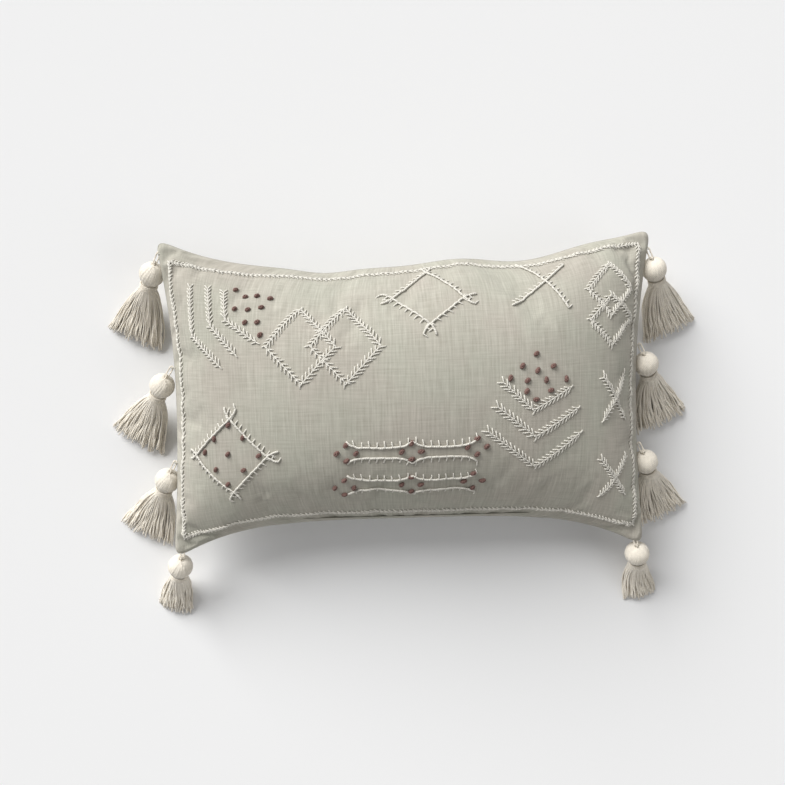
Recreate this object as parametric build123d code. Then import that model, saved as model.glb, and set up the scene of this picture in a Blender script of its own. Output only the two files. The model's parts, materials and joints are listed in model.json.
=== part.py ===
"""Lumbar throw pillow, 14 by 22 inches: zipped embroidered cover, sewn insert and eight tassels.

The pillow lies on its back panel.  +X runs along its length, +Y along its height, +Z up through
the embroidered front.  The origin is the centre of the flat patch that it rests on.
Heights called "rise" are measured from the seam plane, upwards for the front half.
All sizes are in millimetres.
"""
from build123d import *
import math
import os

# ---- stuffed shape ---------------------------------------------------------------------------
SEAM_Z = 58.0            # height of the seam plane above the resting patch
FRONT_DEPTH = 80.0       # seam plane to the crown of the front panel
BACK_DEPTH = 75.0        # seam plane to the crown of the back panel, before it flattens
HALF_LENGTH_MID = 253.0  # half length along the middle of the pillow
HALF_LENGTH_TOP = 267.0  # half length along the upper corners
HALF_LENGTH_LOW = 257.0  # half length along the lower corners
HALF_HEIGHT_MID = 138.0  # half height across the waist
HALF_HEIGHT_END = 171.0  # half height at the corners
WAIST_POWER = 4          # how late the long edges flare out towards the corners
RIM_LEVEL = 0.05         # fullness level that gives the seam its blunt corners
LEVELS = (0.20, 0.42, 0.62, 0.80, 0.92, 0.985)
LEVEL_SPACING = 0.05     # least step between the last two levels
OUTLINE_POINTS = 32
CORNER_CROWDING = 0.75   # outline points gather at the corners, where it bends

# ---- fabric layers ---------------------------------------------------------------------------
COVER_THICKNESS = 1.0
CASING_THICKNESS = 0.8
LAYER_GAP = 0.4
CASING_EDGE_INSET = 11.0  # the insert stops short of the zip and the seam allowance
SEAM_HALF_GAP = 0.3      # half the space that the seam thread fills
ALLOWANCE_DEPTH = 6.0
ALLOWANCE_THICKNESS = 0.8
THREAD_INSET = 2.5
THREAD_WIDTH = 0.5
THREAD_HALF_RISE = 0.25

# ---- hidden zip in the lower seam ------------------------------------------------------------
ZIP_Y = -133.9
ZIP_HALF_LENGTH = 148.0
SLOT_HALF_LENGTH = 150.0
SLOT_HALF_RISE = 4.0
COIL_RADIUS = 0.8
COIL_RISE = 1.3
TAPE_THICKNESS = 0.5
TAPE_RISE = (2.1, 12.0)
SLIDER_X = 122.0         # where the slider sits when the zip is closed
SLIDER_LENGTH = 9.0
SLIDER_HALF_RISE = 3.4
PLATE_THICKNESS = 1.0
PLATE_GAP = 2.2          # between the slider's plates, around the coils
PULL_PIN_Y = -138.4
PULL_PIN_RADIUS = 0.6
PULL_LENGTH = 17.0
PULL_WIDTH = 5.0
PULL_THICKNESS = 1.0
EYE_WALL = 1.0
EYE_WIDTH = 2.4          # the pull's eye fits between the bail's legs
EYE_CLEARANCE = 0.25
BAIL_LEG_WIDTH = 0.9
BAIL_HALF_SPAN = 1.95
BAIL_BAR_LENGTH = 4.8
ARM_LENGTH = 6.0
STOP_X = (131.5, -144.5)
STOP_LENGTH = 3.0

# ---- embroidery ------------------------------------------------------------------------------
YARN_RADIUS = 0.9
RUN_LENGTH = 16.0        # one laid run of yarn
RUN_PITCH = 20.0
KNOT_RADIUS = 1.9
KNOT_LIFT = 0.9          # how far a knot's middle stands above the fabric
BORDER_LEVEL = 0.23      # fullness level that the border stitching follows

LEFT_CHEVRONS = (
    ((-229, 121), (-227, 69), (-196, 36)),
    ((-210, 119), (-207, 79), (-179, 48)),
    ((-193, 115), (-191, 85), (-156, 60)),
)
RIGHT_CHEVRONS = (
    ((93, 17), (126, -14), (168, 9)),
    ((87, -8), (128, -42), (176, -13)),
    ((77, -33), (129, -74), (179, -39)),
)
PAIRED_DIAMONDS = ((-112, 56, 36, 38), (-66, 56, 36, 38))     # centre x, y, half width, half height
TOP_DIAMOND = (21, 103, 38, 27)
FIGURE_EIGHT = ((216, 109, 25, 27), (216, 77, 25, 26))
CORNER_DIAMOND = (-188, -57, 39, 40)
LARGE_CROSS = ((120, 136), (167, 92), (167, 135), (110, 95))  # two bars, end to end
SMALL_CROSSES = ((218, -6, 14, 24), (218, -92, 15, 21))
BAND_ROWS = (-48, -59, -84, -96)
BAND_HALF_LENGTH = 66.0

UPPER_KNOTS = ((-181, 116), (-170, 108), (-158, 109), (-144, 106), (-181, 96), (-167, 95),
               (-153, 97), (-170, 82), (-157, 82), (-154, 69))
RIGHT_KNOTS = ((130, 44), (115, 32), (148, 31), (131, 27), (102, 20), (120, 17), (140, 17),
               (162, 17), (119, 6), (145, 6), (129, -3))
DIAMOND_KNOTS = ((-190, -24), (-206, -39), (-175, -37), (-217, -54), (-192, -55), (-159, -56),
                 (-206, -72), (-176, -72), (-194, -88))
BAND_CLUSTERS = ((-68, -54), (-1, -53), (67, -50), (-71, -93), (-1, -90), (64, -88))
CLUSTER_KNOTS = ((0, 9), (-10, 0), (10, 0), (0, -8))

# ---- tassels ---------------------------------------------------------------------------------
TACK_RADIUS = 0.6        # thread bar that a tassel's cord loop hangs on
TACK_STANDOFF = 3.2
TACK_HALF_RISE = 3.0
TACK_BITE = 1.5
NORMAL_SPREAD = 0.06     # polar angle either side over which the seam's direction is averaged
LOOP_RADIUS = 1.8        # centre line of the loop's round ends
LOOP_STRAIGHT = 9.0
CORD_RADIUS = 0.7
EYELET_RADIUS = 1.9      # middle of the eyelet's wall
EYELET_WIDTH = 1.2
HEAD_START = 1.9
HEAD_RADIUS = 13.0
NECK_START = 27.0
NECK_END = 35.0
NECK_RADIUS = 8.5
BINDING_THICKNESS = 1.3
BINDING_GAP = 0.2
SKIRT_SECTIONS = ((0.12, 10.5, 8.8), (0.35, 15.0, 9.0), (0.65, 21.0, 8.5), (1.0, 25.0, 7.0))
SIDE_TASSEL_LENGTH = 94.0
CORNER_TASSEL_LENGTH = 80.0
FLOOR_CLEARANCE = 1.0

# name: (side sign, attachment height along the short edge, or None at the lower corner,
#        degrees from straight down the page outwards, length)
TASSELS = {
    "tassel_left_1": (-1, 156.0, 24.0, SIDE_TASSEL_LENGTH),
    "tassel_left_2": (-1, 34.0, 32.0, SIDE_TASSEL_LENGTH),
    "tassel_left_3": (-1, -70.0, 27.0, SIDE_TASSEL_LENGTH),
    "tassel_left_4": (-1, None, 15.0, CORNER_TASSEL_LENGTH),
    "tassel_right_1": (1, 152.0, 24.0, SIDE_TASSEL_LENGTH),
    "tassel_right_2": (1, 48.0, 24.0, SIDE_TASSEL_LENGTH),
    "tassel_right_3": (1, -62.0, 24.0, SIDE_TASSEL_LENGTH),
    "tassel_right_4": (1, None, 15.0, CORNER_TASSEL_LENGTH),
}


# ---- shape of the stuffed pillow -------------------------------------------------------------
def half_length(v, inset=0.0):
    """Half length of the pillow at height fraction v."""
    corner = HALF_LENGTH_TOP if v > 0 else HALF_LENGTH_LOW
    return HALF_LENGTH_MID + (corner - HALF_LENGTH_MID) * v * v - inset


def half_height(u, inset=0.0):
    """Half height of the pillow at length fraction u."""
    return HALF_HEIGHT_MID + (HALF_HEIGHT_END - HALF_HEIGHT_MID) * abs(u) ** WAIST_POWER - inset


def level_point(angle, level, inset=0.0):
    """Point at a polar angle on the outline where sqrt((1-u^2)(1-v^2)) equals level."""
    c = math.cos(angle)
    s = math.sin(angle)
    q = c * c * s * s
    room = 1.0 - level * level
    radius2 = room if q < 1e-9 else (1.0 - math.sqrt(1.0 - 4.0 * q * room)) / (2.0 * q)
    u = c * math.sqrt(radius2)
    v = s * math.sqrt(radius2)
    return u * half_length(v, inset), v * half_height(u, inset)


def level_angles(count=OUTLINE_POINTS):
    """Polar angles that gather at the four corners."""
    steps = [2.0 * math.pi * i / count for i in range(count)]
    return [t + CORNER_CROWDING / 4.0 * math.sin(4.0 * t) for t in steps]


def level_face(level, inset, z):
    """Flat face bounded by one level outline."""
    points = [level_point(a, level, inset) for a in level_angles()]
    return make_face(Plane.XY.offset(z) * Spline([(x, y) for x, y in points], periodic=True))


def cushion_half(side, edge_inset, face_inset, start_rise):
    """Solid half of the pillow, lofted through its level outlines from the seam to the crown.

    The back half stops at the flat patch that the pillow rests on.
    """
    depth = (FRONT_DEPTH if side > 0 else BACK_DEPTH) - face_inset
    last = LEVELS[-1] if side > 0 else (SEAM_Z - face_inset) / depth
    levels = [level for level in LEVELS[:-1] if level < last - LEVEL_SPACING] + [last]
    faces = [level_face(RIM_LEVEL, edge_inset, SEAM_Z + side * start_rise)]
    for level in levels:
        faces.append(level_face(level, edge_inset, SEAM_Z + side * depth * level))
    if side < 0:
        faces.reverse()
    return loft(faces)


def rim_prism(inset, rise_a, rise_b):
    """Seam outline, inset and extruded between two rises."""
    low = min(rise_a, rise_b)
    return extrude(level_face(RIM_LEVEL, inset, SEAM_Z + low), abs(rise_b - rise_a))


def zip_slot():
    """Opening in the lower seam that the zip closes."""
    block = Box(2 * SLOT_HALF_LENGTH, 60, 2 * SLOT_HALF_RISE)
    return Pos(0, -HALF_HEIGHT_MID, SEAM_Z) * block


def cover_panel(side):
    """One fabric panel of the cover, with its seam allowance turned in."""
    allowance_top = SEAM_HALF_GAP + ALLOWANCE_THICKNESS
    outer = cushion_half(side, 0, 0, SEAM_HALF_GAP)
    inner = cushion_half(side, COVER_THICKNESS, COVER_THICKNESS, allowance_top)
    mouth = rim_prism(ALLOWANCE_DEPTH, 0, side * 2 * allowance_top)
    return outer - inner - mouth - zip_slot()


def casing_panel(side):
    """One panel of the insert's bag."""
    gap = COVER_THICKNESS + LAYER_GAP
    outer = cushion_half(side, CASING_EDGE_INSET, gap, 0)
    inner = cushion_half(side, CASING_EDGE_INSET + CASING_THICKNESS, gap + CASING_THICKNESS, 0)
    return outer - inner


def filling():
    """Fibre filling, as one plump solid."""
    edge = CASING_EDGE_INSET + CASING_THICKNESS + LAYER_GAP
    face = COVER_THICKNESS + CASING_THICKNESS + 2 * LAYER_GAP
    return cushion_half(1, edge, face, 0) + cushion_half(-1, edge, face, 0)


def seam_thread():
    """Line of thread between the two seam allowances, open along the zip."""
    outer = rim_prism(THREAD_INSET, -THREAD_HALF_RISE, THREAD_HALF_RISE)
    inner = rim_prism(THREAD_INSET + THREAD_WIDTH, -THREAD_HALF_RISE, THREAD_HALF_RISE)
    return outer - inner - zip_slot()


# ---- embroidery ------------------------------------------------------------------------------
def surface_point(x, y):
    """Point of the front panel above plan position x, y."""
    u = x / HALF_LENGTH_MID
    v = y / HALF_HEIGHT_MID
    for _ in range(40):
        u = max(-1.0, min(1.0, x / half_length(v)))
        v = max(-1.0, min(1.0, y / half_height(u)))
    level = math.sqrt(max(0.0, (1 - u * u) * (1 - v * v)))
    return Vector(x, y, SEAM_Z + FRONT_DEPTH * level)


def yarn_runs(corners):
    """Laid runs of yarn, end to end along a path of straight legs."""
    runs = []
    for start, end in zip(corners[:-1], corners[1:]):
        length = math.dist(start, end)
        count = max(1, round(length / RUN_PITCH))
        half = 0.5 * RUN_LENGTH / RUN_PITCH / count
        for i in range(count):
            middle = (i + 0.5) / count
            runs.append(yarn_run(start, end, middle - half, middle + half))
    return runs


def yarn_run(start, end, t0, t1):
    """One straight run of yarn, half sunk in the fabric, between two fractions of a leg."""
    ends = []
    for t in (t0, t1):
        x = start[0] + (end[0] - start[0]) * t
        y = start[1] + (end[1] - start[1]) * t
        ends.append(surface_point(x, y))
    span = ends[1] - ends[0]
    return Solid.make_cylinder(YARN_RADIUS, span.length, Plane(ends[0], z_dir=span))


def diamond(x, y, half_width, half_up):
    """Closed path round a diamond."""
    return ((x, y + half_up), (x + half_width, y), (x, y - half_up), (x - half_width, y),
            (x, y + half_up))


def border_path():
    """Path of the border stitching, round the panel at one fullness level."""
    points = [level_point(2 * math.pi * i / 720, BORDER_LEVEL) for i in range(721)]
    path = [points[0]]
    for point in points:
        if math.dist(point, path[-1]) >= RUN_PITCH:
            path.append(point)
    return path


def small_crosses():
    """Runs of the two small crosses."""
    runs = []
    for x, y, half_width, half_up in SMALL_CROSSES:
        runs += yarn_runs(((x - half_width, y + half_up), (x + half_width, y - half_up)))
        runs += yarn_runs(((x + half_width, y + half_up), (x - half_width, y - half_up)))
    return runs


def knots():
    """Yarn knots scattered over the front."""
    places = list(UPPER_KNOTS + RIGHT_KNOTS + DIAMOND_KNOTS)
    for x, y in BAND_CLUSTERS:
        places += [(x + dx, y + dy) for dx, dy in CLUSTER_KNOTS]
    lift = Pos(0, 0, KNOT_LIFT)
    return [lift * Pos(surface_point(x, y)) * Sphere(KNOT_RADIUS) for x, y in places]


def all_runs(paths):
    """Runs along several paths."""
    return [run for path in paths for run in yarn_runs(path)]


def embroidery():
    """Every embroidered motif, as a node of separate runs or knots."""
    bands = [((-BAND_HALF_LENGTH, y), (BAND_HALF_LENGTH, y)) for y in BAND_ROWS]
    return {
        "border_stitching": yarn_runs(border_path()),
        "left_chevrons": all_runs(LEFT_CHEVRONS),
        "paired_diamonds": all_runs([diamond(*d) for d in PAIRED_DIAMONDS]),
        "top_diamond": yarn_runs(diamond(*TOP_DIAMOND)),
        "large_cross": all_runs([LARGE_CROSS[:2], LARGE_CROSS[2:]]),
        "figure_eight": all_runs([diamond(*d) for d in FIGURE_EIGHT]),
        "right_chevrons": all_runs(RIGHT_CHEVRONS),
        "small_crosses": small_crosses(),
        "corner_diamond": yarn_runs(diamond(*CORNER_DIAMOND)),
        "centre_bands": all_runs(bands),
        "yarn_knots": knots(),
    }


# ---- zip -------------------------------------------------------------------------------------
def zip_coil(side):
    """One row of coil teeth."""
    start = Plane((-ZIP_HALF_LENGTH, ZIP_Y, SEAM_Z + side * COIL_RISE), z_dir=(1, 0, 0))
    return Solid.make_cylinder(COIL_RADIUS, 2 * ZIP_HALF_LENGTH, start)


def zip_tape(side):
    """Woven tape that carries one row of teeth."""
    rise = 0.5 * (TAPE_RISE[0] + TAPE_RISE[1])
    strip = Box(2 * ZIP_HALF_LENGTH, TAPE_THICKNESS, TAPE_RISE[1] - TAPE_RISE[0])
    return Pos(0, ZIP_Y, SEAM_Z + side * rise) * strip


def zip_stops():
    """Clamped stops at both ends of the teeth."""
    stop = Box(STOP_LENGTH, 2 * COIL_RADIUS + 0.8, 2 * (COIL_RISE + COIL_RADIUS))
    return [Pos(x, ZIP_Y, SEAM_Z) * stop for x in STOP_X]


def zip_slider():
    """Slider: two plates joined by a blade between the coils, with a bail for the pull."""
    plate = Box(SLIDER_LENGTH, PLATE_THICKNESS, 2 * SLIDER_HALF_RISE)
    offset = 0.5 * (PLATE_GAP + PLATE_THICKNESS)
    blade = Box(SLIDER_LENGTH / 2, PLATE_GAP + PLATE_THICKNESS, 2 * SEAM_HALF_GAP)
    body = Pos(0, ZIP_Y - offset, 0) * plate + Pos(0, ZIP_Y + offset, 0) * plate
    body += Pos(SLIDER_LENGTH / 4, ZIP_Y, 0) * blade
    foot = ZIP_Y - offset
    for side in (-1, 1):
        leg = Box(2 * PULL_PIN_RADIUS, foot - PULL_PIN_Y, BAIL_LEG_WIDTH)
        body += Pos(0, 0.5 * (foot + PULL_PIN_Y), side * BAIL_HALF_SPAN) * leg
    body += Pos(0, PULL_PIN_Y, 0) * Cylinder(PULL_PIN_RADIUS, BAIL_BAR_LENGTH)
    return Pos(SLIDER_X, 0, SEAM_Z) * body


def zip_pull():
    """Pull tab with an eye round the bail's bar."""
    hole = PULL_PIN_RADIUS + EYE_CLEARANCE
    eye = Cylinder(hole + EYE_WALL, EYE_WIDTH)
    arm = Pos(-hole - 0.5 * ARM_LENGTH, 0, 0) * Box(ARM_LENGTH, PULL_THICKNESS, EYE_WIDTH)
    tab_middle = -0.5 * (PULL_LENGTH + ARM_LENGTH)
    tab = Box(PULL_LENGTH - ARM_LENGTH, PULL_THICKNESS, PULL_WIDTH)
    body = eye + arm + Pos(tab_middle, 0, 0) * tab - Cylinder(hole, 2 * EYE_WIDTH)
    return Pos(SLIDER_X, PULL_PIN_Y, SEAM_Z) * body


# ---- tassels ---------------------------------------------------------------------------------
def rim_angle(side, height):
    """Polar angle of the seam outline's point at a given height on one short edge."""
    low = -math.pi / 4
    high = math.pi / 4
    for _ in range(60):
        middle = 0.5 * (low + high)
        if level_point(middle, RIM_LEVEL)[1] < height:
            low = middle
        else:
            high = middle
    return low if side > 0 else math.pi - low


def tassel_frame(side, height, splay, length):
    """Places and directions of one tassel: seam point, outward normal, tack, hanging direction."""
    corner = -math.pi / 4 if side > 0 else -3 * math.pi / 4
    angle = corner if height is None else rim_angle(side, height)
    here = Vector(*level_point(angle, RIM_LEVEL), SEAM_Z)
    before = Vector(*level_point(angle - NORMAL_SPREAD, RIM_LEVEL), SEAM_Z)
    ahead = Vector(*level_point(angle + NORMAL_SPREAD, RIM_LEVEL), SEAM_Z)
    normal = (ahead - before).normalized().cross(Vector(0, 0, 1))
    tack = here + normal * TACK_STANDOFF
    turn = math.radians(splay)
    heading = Vector(side * math.sin(turn), -math.cos(turn), 0)
    eyelet = tack + heading * (LOOP_STRAIGHT + LOOP_RADIUS)
    lowest = SKIRT_SECTIONS[-1][2]
    pitch = math.asin((SEAM_Z - FLOOR_CLEARANCE - lowest) / length)
    axis = heading * math.cos(pitch) - Vector(0, 0, math.sin(pitch))
    return {"seam": here, "normal": normal, "tack": tack, "heading": heading, "eyelet": eyelet,
            "axis": axis, "length": length}


def bar_tacks(frames):
    """Thread bars standing off the seam, each with two legs sewn into the panels."""
    bars = []
    for f in frames:
        low = f["tack"] - Vector(0, 0, TACK_HALF_RISE)
        bar = Solid.make_cylinder(TACK_RADIUS, 2 * TACK_HALF_RISE, Plane(low))
        for rise in (-TACK_HALF_RISE, TACK_HALF_RISE):
            foot = f["tack"] + Vector(0, 0, rise)
            leg = Plane(foot, z_dir=f["normal"] * -1)
            bar = bar + Solid.make_cylinder(TACK_RADIUS, TACK_STANDOFF + TACK_BITE, leg)
        bars.append(bar)
    return bars


def tassel_loop(f):
    """Cord loop from the thread bar to the tassel's eyelet."""
    height = 2 * (LOOP_RADIUS + CORD_RADIUS)
    hole = 2 * (LOOP_RADIUS - CORD_RADIUS)
    sketch = SlotCenterToCenter(LOOP_STRAIGHT, height) - SlotCenterToCenter(LOOP_STRAIGHT, hole)
    ring = extrude(sketch, CORD_RADIUS, both=True)
    middle = f["tack"] + f["heading"] * (LOOP_STRAIGHT / 2)
    return Plane(middle, x_dir=f["heading"], z_dir=(0, 0, 1)) * ring


def tassel_yarn(length):
    """Bundle of yarn along +X from its eyelet: round head, bound neck and flattened skirt."""
    ring = Cylinder(EYELET_RADIUS + CORD_RADIUS, EYELET_WIDTH)
    ring -= Cylinder(EYELET_RADIUS - CORD_RADIUS, 2 * EYELET_WIDTH)
    eyelet = Rot(90, 0, 0) * ring
    widest = HEAD_START + HEAD_RADIUS
    start = (HEAD_START, 0)
    neck = (NECK_START, NECK_RADIUS)
    crown = Spline([start, (widest, HEAD_RADIUS), neck], tangents=[(0, 1), (0.6, -1)])
    outline = [crown, Line(neck, (NECK_END, NECK_RADIUS))]
    outline += [Line((NECK_END, NECK_RADIUS), (NECK_END, 0)), Line((NECK_END, 0), start)]
    head = revolve(make_face(outline), Axis.X)
    room = length - NECK_END
    sections = [Plane((NECK_END, 0, 0), x_dir=(0, 1, 0), z_dir=(1, 0, 0)) * Circle(NECK_RADIUS)]
    for fraction, half_width, half_thickness in SKIRT_SECTIONS:
        place = Plane((NECK_END + fraction * room, 0, 0), x_dir=(0, 1, 0), z_dir=(1, 0, 0))
        sections.append(place * Ellipse(half_width, half_thickness))
    return eyelet + head + loft(sections)


def tassel_binding():
    """Wrapped cord round the tassel's neck."""
    inner = NECK_RADIUS + BINDING_GAP
    ring = Cylinder(inner + BINDING_THICKNESS, 6.0) - Cylinder(inner, 8.0)
    return Pos(0.5 * (NECK_START + NECK_END), 0, 0) * (Rot(0, 90, 0) * ring)


def tassels():
    """Nodes of all eight tassels and of the thread bars that hold them."""
    frames = {name: tassel_frame(*values) for name, values in TASSELS.items()}
    yarn = {length: tassel_yarn(length) for length in (SIDE_TASSEL_LENGTH, CORNER_TASSEL_LENGTH)}
    binding = tassel_binding()
    nodes = {"tassel_bar_tacks": bar_tacks(frames.values())}
    for name, f in frames.items():
        across = Vector(0, 0, 1).cross(f["heading"])
        place = Plane(f["eyelet"], x_dir=f["axis"], z_dir=f["axis"].cross(across))
        nodes[name + "_loop"] = [tassel_loop(f)]
        nodes[name + "_yarn"] = [place * yarn[f["length"]]]
        nodes[name + "_binding"] = [place * binding]
    return nodes


def write_nodes(nodes):
    """Write one STEP file for each named piece."""
    os.makedirs("parts", exist_ok=True)
    for name, shapes in nodes.items():
        solids = [solid for shape in shapes for solid in shape.solids()]
        shape = solids[0] if len(solids) == 1 else Compound(solids)
        export_step(shape, f"parts/{name}.step")


def main():
    """Build every piece of the pillow."""
    nodes = {
        "cover_front_panel": [cover_panel(1)],
        "cover_back_panel": [cover_panel(-1)],
        "insert_casing_front": [casing_panel(1)],
        "insert_casing_back": [casing_panel(-1)],
        "insert_filling": [filling()],
        "seam_thread": [seam_thread()],
        "zip_coil_front": [zip_coil(1)],
        "zip_coil_back": [zip_coil(-1)],
        "zip_tape_front": [zip_tape(1)],
        "zip_tape_back": [zip_tape(-1)],
        "zip_stops": zip_stops(),
        "zip_slider": [zip_slider()],
        "zip_pull_tab": [zip_pull()],
    }
    nodes.update(embroidery())
    nodes.update(tassels())
    write_nodes(nodes)


if __name__ == "__main__":
    main()
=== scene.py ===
"""Stuffed lumbar pillow with an embroidered linen cover, a zipped seam and eight yarn tassels.

The cover's two cut panels are laid over a stuffed shape, which a short cloth simulation fills
out.  Everything that is sewn on is laid out on the flat panel and then carried to that surface.
Lengths are in metres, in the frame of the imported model: +X along the pillow, +Z up through it.
"""
import json
import math

import bpy
import numpy as np
from mathutils import Matrix, Vector


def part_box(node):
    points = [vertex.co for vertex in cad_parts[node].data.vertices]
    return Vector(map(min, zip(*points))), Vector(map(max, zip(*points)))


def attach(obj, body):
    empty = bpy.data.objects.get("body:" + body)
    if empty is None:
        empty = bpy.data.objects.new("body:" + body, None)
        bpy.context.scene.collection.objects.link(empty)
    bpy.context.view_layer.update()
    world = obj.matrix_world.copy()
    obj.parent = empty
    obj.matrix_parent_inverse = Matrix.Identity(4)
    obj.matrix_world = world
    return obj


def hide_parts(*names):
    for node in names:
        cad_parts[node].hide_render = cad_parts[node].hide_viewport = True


bl_info = {
    "name": "Tasselled lumbar pillow",
    "version": (1, 0, 0),
    "blender": (4, 5, 0),
    "location": "3D View > Sidebar > Pillow",
    "description": "Builds an embroidered, zipped and tasselled throw pillow round its packed model",
    "category": "Add Mesh",
}

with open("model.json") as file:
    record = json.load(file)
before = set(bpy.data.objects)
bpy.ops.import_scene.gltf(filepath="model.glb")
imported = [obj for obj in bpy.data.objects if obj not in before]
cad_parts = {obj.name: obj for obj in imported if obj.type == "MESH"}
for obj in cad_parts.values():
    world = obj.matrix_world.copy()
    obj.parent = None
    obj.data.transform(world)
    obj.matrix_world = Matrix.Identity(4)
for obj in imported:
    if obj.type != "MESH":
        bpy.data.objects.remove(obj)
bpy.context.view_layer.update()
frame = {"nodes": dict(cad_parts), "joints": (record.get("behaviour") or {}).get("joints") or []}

# ---- layout of the stuffed cover --------------------------------------------------------------
SEAM_Z = 0.058
FRONT_DEPTH = 0.080
BACK_DEPTH = 0.075
HALF_LENGTH = {"mid": 0.253, "top": 0.270, "low": 0.262}
HALF_HEIGHT = {"mid": 0.138, "top": 0.175, "low": 0.179}
WAIST_POWER = 4
SLOT_HALF_LENGTH = 0.150
SLOT_HALF_RISE = 0.0024
# where the upper seam sinks (or rises, if negative), by how much and over what width
SEAM_DIPS = ((-0.088, 0.005, 0.034), (0.060, -0.008, 0.048), (0.200, -0.011, 0.055))
CLOTH_STEPS = 20
DENSITY = 2  # dense grid cells per simulated cell
PILLOW_BODY = "cover"
TASSEL_NAMES = [f"tassel_{side}_{i}" for side in ("left", "right") for i in (1, 2, 3, 4)]

# plan positions of the motifs on the stuffed front, in metres
LEFT_CHEVRONS = (
    ((-0.229, 0.121), (-0.227, 0.069), (-0.196, 0.036)),
    ((-0.210, 0.119), (-0.207, 0.079), (-0.179, 0.048)),
    ((-0.193, 0.115), (-0.191, 0.085), (-0.156, 0.060)),
)
RIGHT_CHEVRONS = (
    ((0.093, 0.017), (0.126, -0.014), (0.168, 0.009)),
    ((0.087, -0.008), (0.128, -0.042), (0.176, -0.013)),
    ((0.077, -0.033), (0.129, -0.074), (0.179, -0.039)),
)
PAIRED_DIAMONDS = ((-0.112, 0.056, 0.036, 0.038), (-0.066, 0.056, 0.036, 0.038))
TOP_DIAMOND = (0.021, 0.103, 0.038, 0.027)
FIGURE_EIGHT = ((0.216, 0.109, 0.025, 0.027), (0.216, 0.077, 0.025, 0.026))
CORNER_DIAMOND = (-0.188, -0.057, 0.039, 0.040)
LARGE_CROSS = (((0.120, 0.136), (0.167, 0.092)), ((0.110, 0.095), (0.167, 0.135)))
# the border's turning points on the flat panel, from its upper left, clockwise
BORDER_POINTS = ((-0.2575, 0.146), (-0.090, 0.158), (0.090, 0.164), (0.259, 0.156),
                 (0.2585, -0.149), (-0.2595, -0.149))
SMALL_CROSSES = ((0.218, -0.006, 0.014, 0.024), (0.218, -0.092, 0.015, 0.021))
BAND_ROWS = ((-0.048, 1), (-0.059, -1), (-0.084, 1), (-0.096, -1))
BAND_HALF_LENGTH = 0.067
BAND_CUSPS = (-0.068, 0.0, 0.067)
UPPER_KNOTS = ((-181, 116), (-170, 108), (-158, 109), (-144, 106), (-181, 96), (-167, 95),
               (-153, 97), (-170, 82), (-157, 82), (-154, 69))
RIGHT_KNOTS = ((130, 44), (115, 32), (148, 31), (131, 27), (102, 20), (120, 17), (140, 17),
               (162, 17), (119, 6), (145, 6), (129, -3))
DIAMOND_KNOTS = ((-190, -24), (-206, -39), (-175, -37), (-217, -54), (-192, -55), (-159, -56),
                 (-206, -72), (-176, -72), (-194, -88))
BAND_CLUSTERS = ((-68, -54), (-1, -53), (67, -50), (-71, -93), (-1, -90), (64, -88))
CLUSTER_KNOTS = ((0, 9), (-10, 0), (10, 0), (0, -8))


# ---- settings ---------------------------------------------------------------------------------
def length_prop(name, description, default):
    """A length setting in metres."""
    return bpy.props.FloatProperty(name=name, description=description, default=default,
                                   unit="LENGTH", precision=4)


def colour_prop(name, description, default):
    """A linear colour setting."""
    return bpy.props.FloatVectorProperty(name=name, description=description, default=default,
                                         subtype="COLOR", size=3, min=0.0, max=1.0)


def number_prop(name, description, default, low=0.0, **more):
    """A plain number setting with a lowest value."""
    return bpy.props.FloatProperty(name=name, description=description, default=default, min=low,
                                   **more)


def vector_prop(name, description, default, **more):
    """A place or direction setting."""
    return bpy.props.FloatVectorProperty(name=name, description=description, default=default,
                                         subtype="XYZ", **more)


def strands_prop(name, description, default):
    """A number of strands."""
    return bpy.props.IntProperty(name=name, description=description, default=default, min=12)


class PillowSettings(bpy.types.PropertyGroup):
    """Size of the cut panels and how firmly they are stuffed."""
    flat_length: length_prop("Flat length", "Length of the cut panel", 0.559)
    flat_height: length_prop("Flat height", "Height of the cut panel", 0.356)
    corner_radius: length_prop("Corner radius", "Radius of the panel's sewn corners", 0.021)
    cell: length_prop("Cloth cell", "Cell size of the simulated cloth", 0.0058)
    cloth_thickness: length_prop("Cloth thickness", "Thickness of the linen", 0.0009)
    lump_height: length_prop("Lump height", "Height of the filling's soft lumps", 0.0022)
    fold_height: length_prop("Fold height", "Height of the folds by the corners", 0.0045)
    pucker_height: length_prop("Pucker height", "Height of the puckers along the seam", 0.0008)
    swell_limit: length_prop("Swell limit", "How far the air may push the cloth", 0.007)
    firmness: number_prop("Firmness", "How tightly the cover is filled", 0.75, max=1.0)


class EmbroiderySettings(bpy.types.PropertyGroup):
    """Yarn and stitch sizes of the embroidery."""
    yarn_radius: length_prop("Yarn radius", "Radius of the embroidery yarn", 0.00080)
    fly_pitch: length_prop("Fly pitch", "Distance between two fly stitches", 0.0047)
    fly_half_width: length_prop("Fly half width", "Half width of a fly stitch", 0.0042)
    blanket_pitch: length_prop("Blanket pitch", "Distance between two blanket stitches", 0.0066)
    tooth_length: length_prop("Tooth length", "Length of a blanket stitch's tooth", 0.0052)


class TasselSettings(bpy.types.PropertyGroup):
    """Yarn counts and sizes of the tassels."""
    outer_strands: strands_prop("Outer strands", "Strands that show over the head", 88)
    inner_strands: strands_prop("Inner strands", "Strands that fill the skirt", 150)
    strand_radius: length_prop("Strand radius", "Radius of one strand of yarn", 0.00078)
    head_radius: length_prop("Head radius", "Radius of the tassel's round head", 0.0130)
    cord_radius: length_prop("Cord radius", "Radius of the hanging cord", 0.0009)


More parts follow.
